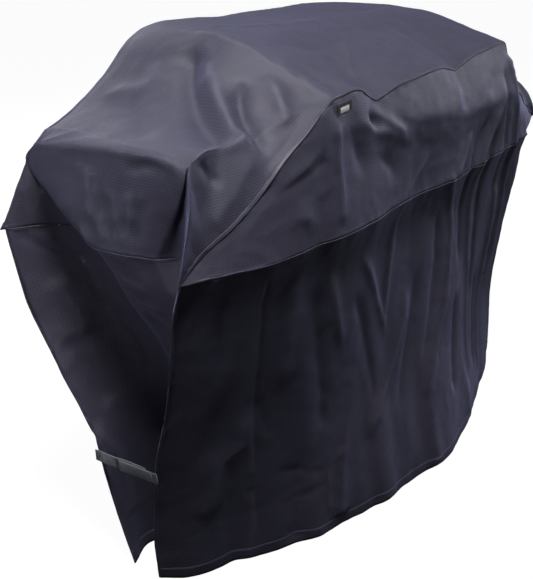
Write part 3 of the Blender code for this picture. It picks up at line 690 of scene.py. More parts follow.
def front_folds(folds):
    """Drag lines and hanging folds on the front."""
    upper, skirt = ("front_upper_panel",), ("front_lower_panel",)
    both = upper + skirt

    def run(panels, path, width, depth, sharp=False, ends=0.06):
        folds.crease(panels, [(x, -0.28, z) for x, z in path], width, depth, sharp, ends)

    # below the lid's left corner
    run(upper, ((-0.383, 0.935), (-0.392, 0.87), (-0.395, 0.807), (-0.404, 0.72)), 0.011, 0.0055, ends=0.03)
    run(upper, ((-0.43, 0.92), (-0.45, 0.86), (-0.46, 0.80)), 0.018, -0.003)
    run(upper, ((-0.571, 0.825), (-0.496, 0.842), (-0.413, 0.862)), 0.008, -0.0022, ends=0.03)
    run(upper, ((-0.56, 0.845), (-0.50, 0.862), (-0.43, 0.885)), 0.008, 0.0018, ends=0.03)
    run(upper, ((-0.56, 0.79), (-0.50, 0.762), (-0.45, 0.745)), 0.022, 0.005)
    run(upper, ((-0.36, 0.93), (-0.33, 0.86), (-0.30, 0.79)), 0.020, -0.007)
    run(upper, ((-0.275, 0.935), (-0.255, 0.91), (-0.23, 0.88)), 0.014, -0.012, ends=0.03)
    run(upper, ((-0.245, 0.933), (-0.189, 0.886), (-0.137, 0.846)), 0.011, 0.006, ends=0.03)
    run(upper, ((-0.20, 0.91), (-0.15, 0.88), (-0.09, 0.86)), 0.012, -0.004)
    run(upper, ((-0.337, 0.925), (-0.25, 0.885), (-0.17, 0.850), (-0.10, 0.82)), 0.016, 0.004)
    run(upper, ((-0.26, 0.84), (-0.20, 0.79), (-0.17, 0.74)), 0.020, -0.006)
    run(both, ((-0.035, 0.795), (-0.09, 0.745), (-0.12, 0.714), (-0.167, 0.626), (-0.195, 0.521),
               (-0.21, 0.42)), 0.012, 0.006)
    run(both, ((-0.075, 0.78), (-0.13, 0.70), (-0.17, 0.60)), 0.014, -0.005)
    run(upper, ((0.158, 0.80), (0.135, 0.765), (0.109, 0.733), (0.063, 0.695)), 0.011, 0.006, ends=0.03)
    run(upper, ((0.11, 0.935), (0.10, 0.90), (0.075, 0.86)), 0.014, 0.006, ends=0.03)
    run(upper, ((0.30, 0.95), (0.29, 0.90), (0.24, 0.86)), 0.016, -0.005, ends=0.04)
    run(both, ((0.345, 0.90), (0.323, 0.836), (0.270, 0.77), (0.222, 0.699), (0.205, 0.60), (0.203, 0.50),
               (0.205, 0.38),
               (0.195, 0.22), (0.19, 0.10)), 0.013, 0.008)
    run(both, ((0.27, 0.83), (0.20, 0.76), (0.165, 0.69), (0.15, 0.56), (0.15, 0.44)), 0.014, -0.007)
    run(both, ((0.33, 0.80), (0.29, 0.72), (0.265, 0.60), (0.26, 0.46), (0.25, 0.30)), 0.014, -0.007)
    run(both, ((0.400, 0.955), (0.425, 0.88), (0.44, 0.80), (0.45, 0.72), (0.44, 0.60), (0.42, 0.46),
               (0.37, 0.32)),
        0.014, 0.013, ends=0.03)
    run(both, ((0.36, 0.93), (0.37, 0.86), (0.38, 0.78), (0.385, 0.70), (0.36, 0.56)), 0.013, -0.006,
        ends=0.04)
    run(both, ((0.50, 0.80), (0.50, 0.70), (0.50, 0.58), (0.47, 0.42)), 0.018, -0.007)
    run(both, ((0.58, 0.80), (0.57, 0.70), (0.56, 0.56), (0.53, 0.40), (0.50, 0.24)), 0.016, 0.006)
    run(both, ((0.66, 0.74), (0.65, 0.66), (0.63, 0.50), (0.60, 0.30)), 0.016, -0.005)
    # skirt: packing crease and its branches
    crease_line = ((-0.600, 0.668), (-0.604, 0.651), (-0.613, 0.604), (-0.621, 0.515), (-0.625, 0.45),
                   (-0.622, 0.393),
                   (-0.625, 0.345), (-0.628, 0.265), (-0.63, 0.204), (-0.632, 0.107), (-0.636, 0.02))
    run(skirt, crease_line, 0.0065, -0.0048, sharp=True, ends=0.04)
    run(skirt, [(x - 0.012, z) for x, z in crease_line], 0.010, 0.0035, ends=0.04)
    run(skirt, ((-0.622, 0.393), (-0.60, 0.336), (-0.58, 0.282)), 0.007, -0.003, sharp=True, ends=0.02)
    run(skirt, ((-0.669, 0.178), (-0.627, 0.159)), 0.007, -0.003, ends=0.01)
    run(skirt, ((-0.569, 0.201), (-0.507, 0.18), (-0.432, 0.155)), 0.007, -0.003, sharp=True, ends=0.02)
    run(skirt, ((-0.572, 0.112), (-0.50, 0.118), (-0.439, 0.121)), 0.006, -0.0022, sharp=True, ends=0.02)
    run(skirt, ((-0.427, 0.158), (-0.431, 0.041)), 0.007, 0.003, sharp=True, ends=0.02)
    run(skirt, ((-0.427, 0.158), (-0.381, 0.192)), 0.007, 0.003, sharp=True, ends=0.01)
    run(skirt, ((-0.642, 0.375), (-0.675, 0.305), (-0.707, 0.239), (-0.735, 0.18), (-0.765, 0.12)), 0.024,
        0.009)
    run(skirt, ((-0.69, 0.42), (-0.73, 0.33), (-0.765, 0.24)), 0.022, -0.005)
    run(skirt, ((-0.70, 0.66), (-0.71, 0.56), (-0.70, 0.46)), 0.030, -0.006)
    # skirt: hanging folds
    run(skirt, ((-0.52, 0.66), (-0.54, 0.52), (-0.56, 0.38)), 0.026, 0.007)
    run(skirt, ((-0.428, 0.64), (-0.410, 0.56), (-0.395, 0.50), (-0.375, 0.42)), 0.015, 0.007)
    run(skirt, ((-0.46, 0.62), (-0.455, 0.50), (-0.44, 0.36), (-0.43, 0.24)), 0.022, -0.007)
    run(skirt, ((-0.32, 0.64), (-0.305, 0.613), (-0.261, 0.544), (-0.222, 0.453), (-0.198, 0.384)), 0.013,
        0.007)
    run(skirt, ((-0.34, 0.56), (-0.30, 0.46), (-0.27, 0.34), (-0.26, 0.22)), 0.018, -0.006)
    run(skirt, ((-0.106, 0.49), (-0.126, 0.416), (-0.20, 0.302), (-0.252, 0.242), (-0.29, 0.16)), 0.016,
        0.008)
    run(skirt, ((-0.06, 0.52), (-0.09, 0.40), (-0.14, 0.28), (-0.17, 0.16)), 0.016, -0.007)
    run(both, ((0.05, 0.73), (0.076, 0.593), (0.067, 0.492), (0.046, 0.393), (-0.017, 0.266), (-0.06, 0.15)),
        0.014, 0.008)
    run(skirt, ((0.02, 0.64), (0.01, 0.50), (-0.02, 0.38), (-0.06, 0.26)), 0.014, -0.006)
    run(skirt, ((0.12, 0.40), (0.10, 0.26), (0.06, 0.10)), 0.018, -0.009)
    run(skirt, ((0.378, 0.63), (0.372, 0.47), (0.35, 0.325), (0.335, 0.16), (0.33, 0.05)), 0.014, 0.008)
    run(skirt, ((0.31, 0.40), (0.30, 0.24), (0.28, 0.08)), 0.016, -0.008)
    run(skirt, ((-0.35, 0.28), (-0.38, 0.16), (-0.40, 0.02)), 0.022, 0.008, ends=(0.12, 0.01))
    run(skirt, ((-0.51, 0.26), (-0.52, 0.14), (-0.53, 0.0)), 0.020, -0.006, ends=(0.12, 0.01))
    run(skirt, ((-0.04, 0.20), (-0.045, 0.10), (-0.042, 0.0)), 0.020, 0.007, ends=(0.12, 0.01))
    run(skirt, ((0.14, 0.20), (0.15, 0.10), (0.16, 0.0)), 0.020, 0.006, ends=(0.12, 0.01))


def back_folds(folds):
    """Hanging folds on the back, which nothing shows: plain drapes from the lid and shelves."""
    both = ("back_upper_panel", "back_lower_panel")
    drapes = ((-0.66, 0.010, 0.55), (-0.58, -0.009, 0.45), (-0.47, 0.011, 0.60), (-0.39, -0.008, 0.50),
              (-0.27, 0.008, 0.40),
              (-0.16, -0.007, 0.45), (-0.05, 0.009, 0.50), (0.07, -0.008, 0.35), (0.18, 0.009,
                                                                                  0.55), (0.29, -0.008, 0.45),
              (0.41, 0.012, 0.60), (0.50, -0.010, 0.50), (0.61, 0.009, 0.45), (0.69, -0.008, 0.40))
    for k, (x, depth, reach) in enumerate(drapes):
        top = float(cap_z(x)) - 0.03
        bend = 0.03 * math.sin(2.3 * k)
        reach += 0.08 + 0.07 * math.sin(1.7 * k)
        points = [(x + bend * t * t, 0.37, top - reach * t) for t in np.linspace(0.0, 1.0, 6)]
        folds.crease(both, points, 0.016 + 0.004 * (k % 3), 1.2 * depth, ends=(0.07, 0.26))
    skirt = ("back_lower_panel",)
    for k in range(11):
        x = -0.66 + 0.132 * k
        lean = 0.03 * math.cos(1.9 * k)
        start = 0.46 + 0.10 * math.sin(2.9 * k)
        points = [(x + lean * t, 0.35, start * (1 - t)) for t in np.linspace(0.0, 1.0, 5)]
        folds.crease(skirt, points, 0.022, 0.010 if k % 2 else -0.009, ends=(0.24, 0.01))
    folds.crease(skirt, ((0.22, 0.37, 0.66), (0.23, 0.36, 0.40), (0.22, 0.35, 0.05)), 0.006, -0.004,
                 sharp=True)


def chain(cloth, panel, place):
    """The welded points along one row or column of a panel's grid."""
    index = cloth.grids[panel][place]
    return index[np.concatenate(([True], index[1:] != index[:-1]))]


def list_seams():
    """Each seam: the panel that holds its line, the line's place there, and the two panels it joins.

    The first of the two is the one that its binding lies on.
    """
    seams = {}
    for face in FACES:
        seams[face + "_cap_seam"] = (face + "_upper_panel", -1, ("top_strip", face + "_upper_panel"))
    for side in FACES + ENDS:
        lower, upper = side + "_lower_panel", side + "_upper_panel" if side in FACES else "top_strip"
        seams[side + "_waist_seam"] = (lower, -1, (lower, upper))
    for face in FACES:
        for end, column in zip(ENDS, (0, -1)):
            lower = face + "_lower_panel"
            seams[f"{face}_{end}_corner_seam"] = (lower, (slice(None), column), (lower, end + "_lower_panel"))
    return seams


SEAMS = list_seams()


def seam_puckers(folds):
    """Wrinkles that the stitches draw up along the seams and hems."""
    cloth = folds.cloth
    for k, (panel, place, joined) in enumerate(SEAMS.values()):
        points = cloth.places[chain(cloth, panel, place)]
        folds.pucker(joined, points, 0.012, 0.0022, 0.014, 4.7 * k)
        folds.pucker(joined, points, 0.030, 0.0028, 0.045, 9.1 * k + 3)
    for k, side in enumerate(FACES + ENDS):
        name = side + "_lower_panel"
        folds.pucker((name,), cloth.places[chain(cloth, name, 0)], 0.040, 0.0050, 0.045, 31.0 * k + 7)


def crumple(folds):
    """Small crumples that stiff coated cloth keeps from its packing."""
    every = list(folds.cloth.names)
    folds.ripple(every, 0.050, 0.0008, 41.0, ridged=True)
    folds.ripple(every, 0.022, 0.0005, 57.0)
    folds.ripple(every, 0.011, 0.0003, 73.0)


# ---------------------------------------------------------------- meshes

def new_piece(name, mesh, finish, body="cover", replaced=()):
    mesh.materials.clear()
    mesh.materials.append(finish)
    item = bpy.data.objects.new(name, mesh)
    bpy.context.scene.collection.objects.link(item)
    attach(item, body)
    if replaced:
        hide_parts(*replaced)
    return item


def mesh_from(name, points, faces, smooth=True):
    mesh = bpy.data.meshes.new(name)
    mesh.from_pydata([tuple(map(float, p)) for p in points], [], faces)
    mesh.update()
    if smooth:
        mesh.shade_smooth()
    return mesh


def mark(mesh, name, kind, domain, values):
    """Puts one value on every point or corner of a mesh, for a finish to read."""
    layer = mesh.attributes.new(name, kind, domain)
    layer.data.foreach_set("vector" if kind == "FLOAT_VECTOR" else "value",
                           np.asarray(values, dtype=np.float32).ravel())


def thicken(item, thickness, offset):
    solid = item.modifiers.new("thickness", "SOLIDIFY")
    solid.thickness = thickness
    solid.offset = offset


def grid_patch(cloth, name, rows=slice(None)):
    """Points, faces and weave places of a panel, or of some rows of it."""
    quads = corners(cloth.grids[name][rows])
    weave = cloth.corner_weave[corners(cloth.raw_grids[name][rows])]
    if PANEL_SIGN[name] < 0:
        quads, weave = quads[:, ::-1], weave[:, ::-1]
    used, inverse = np.unique(quads.ravel(), return_inverse=True)
    quads = inverse.reshape(-1, 4)
    faces, places = [], []
    for square, marks in zip(quads.tolist(), weave.tolist()):
        keep = [i for i in range(4) if square[i] != square[i - 1]]
        face = [square[i] for i in keep]
        if len(face) >= 3 and len(set(face)) == len(face):
            faces.append(face)
            places.extend((marks[i][0], marks[i][1], 0.0) for i in keep)
    return used, faces, places


def cloth_wear(cloth):
    """How sharply the cloth stands out at each point, for wear on its ridges."""
    smooth = cloth.smoothed(cloth.places, 3)
    out = np.einsum("ij,ij->i", cloth.places - smooth, outward_normals(cloth))
    return np.clip(out / 0.0008, -1.0, 1.0)


def cloth_piece(cloth, panel, rows, replaced, finish, thickness, offset):
    """The cloth over some rows of a panel, as a piece that stands for a node of the frame."""
    used, faces, weave = grid_patch(cloth, panel, rows)
    mesh = mesh_from(replaced + "_cloth", cloth.places[used], faces)
    mark(mesh, "weave", "FLOAT_VECTOR", "CORNER", weave)
    mark(mesh, "wear", "FLOAT", "POINT", cloth.wear[used])
    item = new_piece(replaced + "_cloth", mesh, finish, replaced=(replaced,))
    thicken(item, thickness, offset)
    return item


def make_panels(cloth, finish):
    return {name: cloth_piece(cloth, name, slice(None), name, finish["cloth"], CLOTH_T,
                              -1) for name in cloth.names}


def make_hems(cloth, finish):
    """Turned hems: the same cloth doubled over, a little proud on both faces."""
    rows = slice(0, HEM_ROWS + 1)
    return {side: cloth_piece(cloth, side + "_lower_panel", rows, side + "_hem", finish["hem"], HEM_T, -0.55)
            for side in FACES + ENDS}


def seam_frames(cloth, name):
    """Along a seam: its points, the direction onto its first panel, and the way out."""
    panel, place, (first, _) = SEAMS[name]
    line = chain(cloth, panel, place)
    points = cloth.places[line]
    up = unit(cloth.side_normals[first][line])
    across = unit(np.cross(unit(np.gradient(points, axis=0)), up))
    step = max(1, len(points) // 40)
    middle = cloth.places[cloth.faces[cloth.panel == cloth.names.index(first)].ravel()]

    def reached(direction):
        nearest = [middle[np.argmin(np.sum((middle - p) ** 2,
                                           axis=1))] for p in (points + 0.012 * direction)[::step]]
        return np.sum((np.array(nearest) - points[::step]) * direction[::step])

    if reached(-across) > reached(across):
        across = -across
    for _ in range(4):
        for values in (up, across):
            values[1:-1] = (values[:-2] + 2 * values[1:-1] + values[2:]) / 4
            values /= np.linalg.norm(values, axis=1)[:, None]
    return points, across, up


def tube(name, rings):
    """A closed mesh from rings of points, with capped ends."""
    count, around = rings.shape[:2]
    faces = [tuple(range(around))[::-1], tuple(range((count - 1) * around, count * around))]
    for i in range(count - 1):
        for j in range(around):
            a, b = i * around + j, i * around + (j + 1) % around
            faces.append((a, b, b + around, a + around))
    mesh = mesh_from(name, rings.reshape(-1, 3), faces)
    fix_outward(mesh)
    return mesh


# Profiles of the sewn seams, as (onto the first panel, out of the cloth)
LAPPED = ((-0.0016, -0.0004), (-0.0020, 0.0004), (-0.0014, 0.0012), (0.0006, 0.0014), (0.0024, 0.0007),
          (0.0044, 0.0009),
          (0.0056, 0.0006), (0.0062, -0.0001), (0.0052, -0.0010), (0.0, -0.0010))
WAIST_LAP = ((-0.0010, -0.0004), (-0.0014, 0.0006), (-0.0006, 0.0012), (0.0012, 0.0011), (0.0030, 0.0006),
             (0.0044, 0.0008),
             (0.0054, 0.0004), (0.0058, -0.0002), (0.0048, -0.0010), (0.0, -0.0010))
CORNER_ROLL = ((-0.0016, 0.0), (-0.0012, 0.0012), (0.0, 0.0018), (0.0014, 0.0014), (0.0030, 0.0008),
               (0.0048, 0.0010),
               (0.0058, 0.0004), (0.0056, -0.0006), (0.0, -0.0012))


# For each kind of seam: its profile, the places of its rows of stitches on it, and their height
SEAM_KINDS = {"cap": (LAPPED, (0.0010, 0.0048), 0.0010), "waist": (WAIST_LAP, (0.0044,), 0.0007),
              "corner": (CORNER_ROLL, (0.0048,), 0.0007)}


def make_seams(cloth, finish):
    """The sewn seams and the stitches along them."""
    for name in SEAMS:
        profile, rows, lift = SEAM_KINDS[name.split("_")[-2]]
        points, across, up = respaced(*seam_frames(cloth, name), 0.004)
        onto, out = np.array(profile).T[:, None, :, None]
        rings = points[:, None] + across[:, None] * onto + up[:, None] * out
        new_piece(name + "_binding", tube(name + "_binding", rings), finish["binding"],
                  replaced=(name,))
        mesh = mesh_from(name + "_thread", *stitches(points, across, up, rows, lift))
        new_piece(name + "_thread", mesh, finish["thread"])


def respaced(points, across, up, gap):
    """The same line and its directions at even steps."""
    run = distances(points)
    wanted = np.linspace(0.0, run[-1], max(3, int(run[-1] / gap)))
    return [np.stack([np.interp(wanted, run, axis) for axis in values.T], axis=1) for values in (points,
                                                                                                 across, up)]


def distances(points):
    return np.concatenate(([0.0], np.cumsum(np.linalg.norm(np.diff(points, axis=0), axis=1))))


STITCH, STITCH_GAP, THREAD_R, THREAD_DIP = 0.0036, 0.0050, 0.00035, 0.0003


def stitches(points, across, up, rows, lift):
    """Thread seen between its holes: the points and faces of a short raised bead for every stitch."""
    run = distances(points)
    places, faces = [], []
    for row in rows:
        for start in np.arange(0.004, run[-1] - STITCH, STITCH_GAP):
            base = len(places)
            for share in (0.0, 0.3, 0.7, 1.0):
                s = start + share * STITCH
                p, a, u = (np.array([np.interp(s, run, axis) for axis in values.T])
                           for values in (points, across, up))
                centre = p + row * a + lift * u
                if share in (0.0, 1.0):
                    places.append(centre - THREAD_DIP * u)
                else:
                    places.extend((centre + THREAD_R * a, centre + 1.3 * THREAD_R * u, centre - THREAD_R * a,
                                   centre - THREAD_R * u))
            for j in range(4):
                k = (j + 1) % 4
                faces.append((base, base + 1 + k, base + 1 + j))
                faces.append((base + 1 + j, base + 1 + k, base + 5 + k, base + 5 + j))
                faces.append((base + 9, base + 5 + j, base + 5 + k))
    return places, faces


def make_hem_threads(cloth, finish):
    for side in FACES + ENDS:
        name = side + "_lower_panel"
        line = chain(cloth, name, HEM_ROWS)
        points, up = cloth.places[line], unit(cloth.side_normals[name][line])
        across = np.tile((0.0, 0.0, 1.0), (len(points), 1))
        beads = stitches(*respaced(points, across, up, 0.005), (-0.003,), 0.0005)
        new_piece(side + "_hem_thread", mesh_from(side + "_hem_thread", *beads), finish["thread"])


# ---------------------------------------------------------------- straps

WEB_W, WEB_T, WEB_RIBS, RIB_HEIGHT = 0.025, 0.0014, 11, 0.00022
STRAP_MARKS = {"hook": (9, 0.0024, (0.0005, 0.0009, 0.0007), 17),
               "loop": (11, 0.0019, (0.00045, 0.0016, 0.0013), 29)}


def webbing(name, path, twist, finish, body, replaced, side, bow=0.0):
    """A flat woven strap along a path of (y, z, face x): ribbed on both faces, with rounded edges."""
    path = np.asarray(path, dtype=float)
    count = max(6, int(np.linalg.norm(path[-1, :2] - path[0, :2]) / 0.0022))
    line = through(path, [max(2, count // (len(path) - 1))] * (len(path) - 1))
    share = np.linspace(-0.5, 0.5, WEB_RIBS * 4 + 1)[:, None]
    half = WEB_T / 2 * np.sqrt(np.clip(1 - (np.abs(share) / 0.5) ** 16, 0.0, 1.0))
    half += RIB_HEIGHT * np.abs(np.sin(np.pi * WEB_RIBS * (share + 0.5)))
    slope = math.atan2(line[-1, 1] - line[0, 1], line[-1, 0] - line[0, 0])
    rings = []
    for i, (y, z, x) in enumerate(line):
        angle = math.radians(np.interp(i / (len(line) - 1), *zip(*twist)))
        wide = np.array((-math.sin(angle), -math.sin(slope) * math.cos(angle),
                         math.cos(slope) * math.cos(angle)))
        out = np.cross(wide, (0.0, math.cos(slope), math.sin(slope)))
        if out[0] > 0:
            out = -out
        middle = np.array((x, y, z)) + share * WEB_W * wide + bow * (1 - (2 * share) ** 2) * out
        rings.append(np.vstack((middle + half * out, (middle - half * out)[::-1])))
    mesh = tube(name, np.array(rings) * (-side, 1, 1))
    return new_piece(name, mesh, finish["webbing"], body, (replaced,))


def fix_outward(mesh):
    """Turns a closed mesh right side out."""
    volume = 0.0
    places = [v.co for v in mesh.vertices]
    for face in mesh.polygons:
        ids = list(face.vertices)
        for b, c in zip(ids[1:-1], ids[2:]):
            volume += places[ids[0]].dot(places[b].cross(places[c]))
    if volume < 0:
        mesh.flip_normals()


def tape_field(kind, label, body, low, high, x, out, side, finish):
    """A patch of hook or loop tape: a thin backing with rows of hooks, or with a tufted pile."""
    y0, y1 = low[1], high[1]
    rows, pitch, size, seed = STRAP_MARKS[kind]
    rng = np.random.default_rng(seed)
    width, steps = 0.020, 12
    places, faces = [], []

    def brick(centre, size, lean=0.0):
        base = len(places)
        for sx in (0, 1):
            taper = 1 - 0.45 * sx
            for sy in (-0.5, 0.5):
                for sz in (-0.5, 0.5):
                    places.append((centre[0] + out * sx * size[0],
                                   centre[1] + sy * size[1] * taper + lean * sx,
                                   centre[2] + sz * size[2] * taper))
        for square in ((0, 1, 3, 2), (4, 6, 7, 5), (0, 4, 5, 1), (2, 3, 7, 6), (0, 2, 6, 4), (1, 5, 7, 3)):
            faces.append(tuple(base + k for k in square))

    for i in range(steps):
        y = y0 + (y1 - y0) * (i + 0.5) / steps
        brick((x, y, strap_height(y)), (0.0004, (y1 - y0) / steps * 2.2, width))
    for j in range(rows):
        for i in range(int((y1 - y0 - 0.003) / pitch)):
            y = y0 + 0.002 + i * pitch + rng.uniform(-0.0003, 0.0003)
            z = strap_height(y) + (j - (rows - 1) / 2) * (width - 0.003) / (rows - 1) + rng.uniform(-0.0003,
                                                                                                    0.0003)
            brick((x + out * 0.0003, y, z), size, lean=rng.uniform(-0.0004, 0.0004))
    name = f"{label}_{kind}_tape"
    mesh = mesh_from(name, np.array(places) * (-side, 1, 1), faces, smooth=False)
    fix_outward(mesh)
    new_piece(name, mesh, finish[kind], body, (f"{label}_{kind}_patch",))


def strap_height(y):
    """Height of the strap's middle: it runs straight from the front corner to the back one."""
    (_, y0, z0), (_, y1, z1) = STRAP_AXIS["left_front_strap"], STRAP_AXIS["left_rear_strap"]
    return z0 + (z1 - z0) * (y - y0) / (y1 - y0)


def make_straps(finish):
    h = strap_height
    for label, side in zip(ENDS, (-1, 1)):
        front, rear = label + "_front_strap", label + "_rear_strap"
        y_front, y_rear = STRAP_AXIS[front][1], STRAP_AXIS[rear][1]
        low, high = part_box(front)
        face = max(abs(low[0]), abs(high[0])) - 0.001
        rear_face = abs(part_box(rear)[0][0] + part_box(rear)[1][0]) / 2
        path = ((y_front + 0.0012, h(y_front), -face), (y_front + 0.030, h(y_front + 0.03) + 0.001,
                                                        -face - 0.0012),
                (y_front + 0.065, h(y_front + 0.065), -face - 0.0006), (high[1], h(high[1]) - 0.001,
                                                                        -face + 0.0003))
        webbing(front + "_web", path, ((0, 0), (0.25, 4), (0.6, 0), (1, -4)), finish, front, front, side,
                bow=0.0006)
        tab_low, tab_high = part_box(front + "_tab")
        path = ((tab_low[1], h(tab_low[1]), -face + 0.0004), (tab_high[1], h(tab_high[1]), -face))
        webbing(front + "_tab_web", path, ((0, 3), (1, 0)), finish, "cover", front + "_tab", side)
        low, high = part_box(rear)
        path = ((low[1], h(low[1]), -rear_face), (low[1] + 0.05, h(low[1] + 0.05) + 0.001,
                                                  -rear_face + 0.0005),
                (y_rear - 0.03, h(y_rear - 0.03) - 0.001, -rear_face), (y_rear - 0.0012, h(y_rear),
                                                                        -rear_face))
        webbing(rear + "_web", path, ((0, 2), (0.5, -3), (1, -9)), finish, rear, rear, side, bow=0.0004)
        tab_low, tab_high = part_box(rear + "_tab")
        path = ((tab_low[1], h(tab_low[1]), -rear_face), (tab_high[1], h(tab_high[1]), -rear_face + 0.0004))
        webbing(rear + "_tab_web", path, ((0, -9), (1, -4)), finish, "cover", rear + "_tab", side)
        low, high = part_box(label + "_hook_patch")
        tape_field("hook", label, front, low, high, -face + 0.0009, 1, side, finish)
        low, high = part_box(label + "_loop_patch")
        tape_field("loop", label, rear, low, high, -rear_face - 0.0009, -1, side, finish)
        for end, x in (("front", -face - 0.0010), ("rear", -rear_face - 0.0010)):
            tab_stitching(label, end, x, side, finish)


def tab_stitching(label, end, x, side, finish):
    """Box stitching with a cross on a tab."""
    low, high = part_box(f"{label}_{end}_strap_tab")
    y0, y1 = low[1] + 0.0018, high[1] - 0.0018
    middle, half = strap_height((y0 + y1) / 2), WEB_W / 2 - 0.003
    z0, z1 = middle - half, middle + half
    box = ((y0, z0), (y1, z0), (y1, z1), (y0, z1), (y0, z0), (y1, z1), (y0, z1), (y1, z0))
    places, faces = [], []
    for (ya, za), (yb, zb) in zip(box[:-1], box[1:]):
        run = np.linspace(0, 1, 6)[:, None]
        points = np.array((x, ya, za)) * (1 - run) + np.array((x, yb, zb)) * run
        across = np.cross(np.array((0, yb - ya, zb - za)) / math.hypot(yb - ya, zb - za), (-1.0, 0.0, 0.0))
        across, up = (np.tile(v, (6, 1)) for v in (across * (-side, 1, 1), (float(side), 0.0, 0.0)))
        beads, squares = stitches(points * (-side, 1, 1), across, up, (0.0,), 0.0)
        faces.extend(tuple(len(places) + k for k in square) for square in squares)
        places.extend(beads)
    name = f"{label}_{end}_tab_thread"
    new_piece(name, mesh_from(name, places, faces), finish["thread"])


def make_label(finish):
    """A woven label folded at its lower edge: two layers that stand a little apart."""
    low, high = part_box("label")
    width, height = high[0] - low[0], high[2] - low[2]
    centre_x, y = (low[0] + high[0]) / 2, (low[1] + high[1]) / 2
    section = []
    for t in np.linspace(0, 1, 12):
        section.append((-0.0006 - 0.0012 * math.sin(math.pi * t) ** 2 - 0.0010 * t, -height * t))
    for a in np.linspace(0, math.pi, 7)[1:-1]:
        section.append((-0.0016 + 0.00099 * (1 - math.cos(a)), -height - 0.0010 * math.sin(a)))
    for t in np.linspace(1, 0, 12):
        section.append((0.0004 - 0.0002 * t, -height * t))
    section = np.array(section)
    rows = []
    for s in np.linspace(-0.5, 0.5, 26):
        tilt = 0.05 * s * width
        curl = -0.0010 * (2 * s) ** 2
        rows.append([(centre_x + s * width, y + dy + curl * (-dz / height),
                      high[2] - 0.0004 + dz + tilt) for dy, dz in section])
    rows = np.array(rows)
    n, m = rows.shape[:2]
    faces = [(i * m + j, i * m + j + 1, (i + 1) * m + j + 1,
              (i + 1) * m + j) for i in range(n - 1) for j in range(m - 1)]
    mesh = mesh_from("label_weave", rows.reshape(-1, 3), faces)
    uv = [(s * width, -section[j][1], 1.0 if j < 12 else 0.0) for s in np.linspace(-0.5, 0.5,
                                                                                   26) for j in range(m)]
    mark(mesh, "weave", "FLOAT_VECTOR", "POINT", uv)
    thicken(new_piece("label_weave", mesh, finish["label"], "label", ("label",)), 0.0003, 0)


# ---------------------------------------------------------------- finishes

class Finish:
    """Builds one material node by node."""

    def __init__(self, name):
        self.material = bpy.data.materials.new(name)
        self.material.use_nodes = True
        self.tree = self.material.node_tree
        self.shader = self.tree.nodes["Principled BSDF"]

    def node(self, kind, **settings):
        made = self.tree.nodes.new(kind)
        for key, value in settings.items():
            setattr(made, key, value)
        return made

    def link(self, a, b):
        self.tree.links.new(a, b)

    def math(self, operation, a, b=0.0, clamp=False):
        made = self.node("ShaderNodeMath", operation=operation, use_clamp=clamp)
        for socket, value in zip(made.inputs, (a, b)):
            if isinstance(value, (int, float)):
                socket.default_value = value
            else:
                self.link(value, socket)
        return made.outputs[0]

    def add(self, a, b):
        return self.math("ADD", a, b)

    def times(self, a, b, clamp=False):
        return self.math("MULTIPLY", a, b, clamp)

    def attribute(self, name, output="Vector"):
        return self.node("ShaderNodeAttribute", attribute_name=name).outputs[output]

    def place(self):
        return self.node("ShaderNodeTexCoord").outputs["Object"]

    def parts(self, vector):
        split = self.node("ShaderNodeSeparateXYZ")
        self.link(vector, split.inputs[0])
        return split.outputs

    def noise(self, vector, scale, detail=2.0, rough=0.5):
        made = self.node("ShaderNodeTexNoise")
        made.inputs["Scale"].default_value = scale
        made.inputs["Detail"].default_value = detail
        made.inputs["Roughness"].default_value = rough
        self.link(vector, made.inputs["Vector"])
        return made.outputs["Fac"]

    def ramp(self, factor, stops):
        made = self.node("ShaderNodeValToRGB")
        elements = made.color_ramp.elements
        while len(elements) < len(stops):
            elements.new(0.5)
        for element, (place, colour) in zip(elements, stops):
            element.position = place
            element.color = tuple(colour) + (1.0,)
        self.link(factor, made.inputs["Fac"])
        return made.outputs["Color"]

    def bump(self, height, distance, strength, under=None):
        made = self.node("ShaderNodeBump")
        made.inputs["Distance"].default_value = distance
        made.inputs["Strength"].default_value = strength
        self.link(height, made.inputs["Height"])
        if under is not None:
            self.link(under, made.inputs["Normal"])
        return made.outputs["Normal"]

    def mix(self, factor, a, b):
        made = self.node("ShaderNodeMix", data_type="RGBA")
        for socket, value in ((made.inputs["Factor"], factor), (made.inputs["A"], a), (made.inputs["B"], b)):
            if isinstance(value, tuple):
                socket.default_value = value + (1.0,)
            elif isinstance(value, (int, float)):
                socket.default_value = value
            else:
                self.link(value, socket)
        return made.outputs["Result"]

    def surface(self, **values):
        for key, value in values.items():
            socket = self.shader.inputs[key.replace("_", " ")]
            if isinstance(value, tuple):
                socket.default_value = value + (1.0,)
            elif isinstance(value, (int, float)):
                socket.default_value = value
            else:
                self.link(value, socket)


def thread_lines(f, coordinate):
    """One where a ripstop thread runs, nought between."""
    turn = f.math("FRACT", f.math("DIVIDE", coordinate, RIPSTOP))
    apart = f.math("ABSOLUTE", f.math("SUBTRACT", turn, 0.5))
    return f.math("GREATER_THAN", apart, 0.5 - RIPSTOP_W / RIPSTOP / 2)


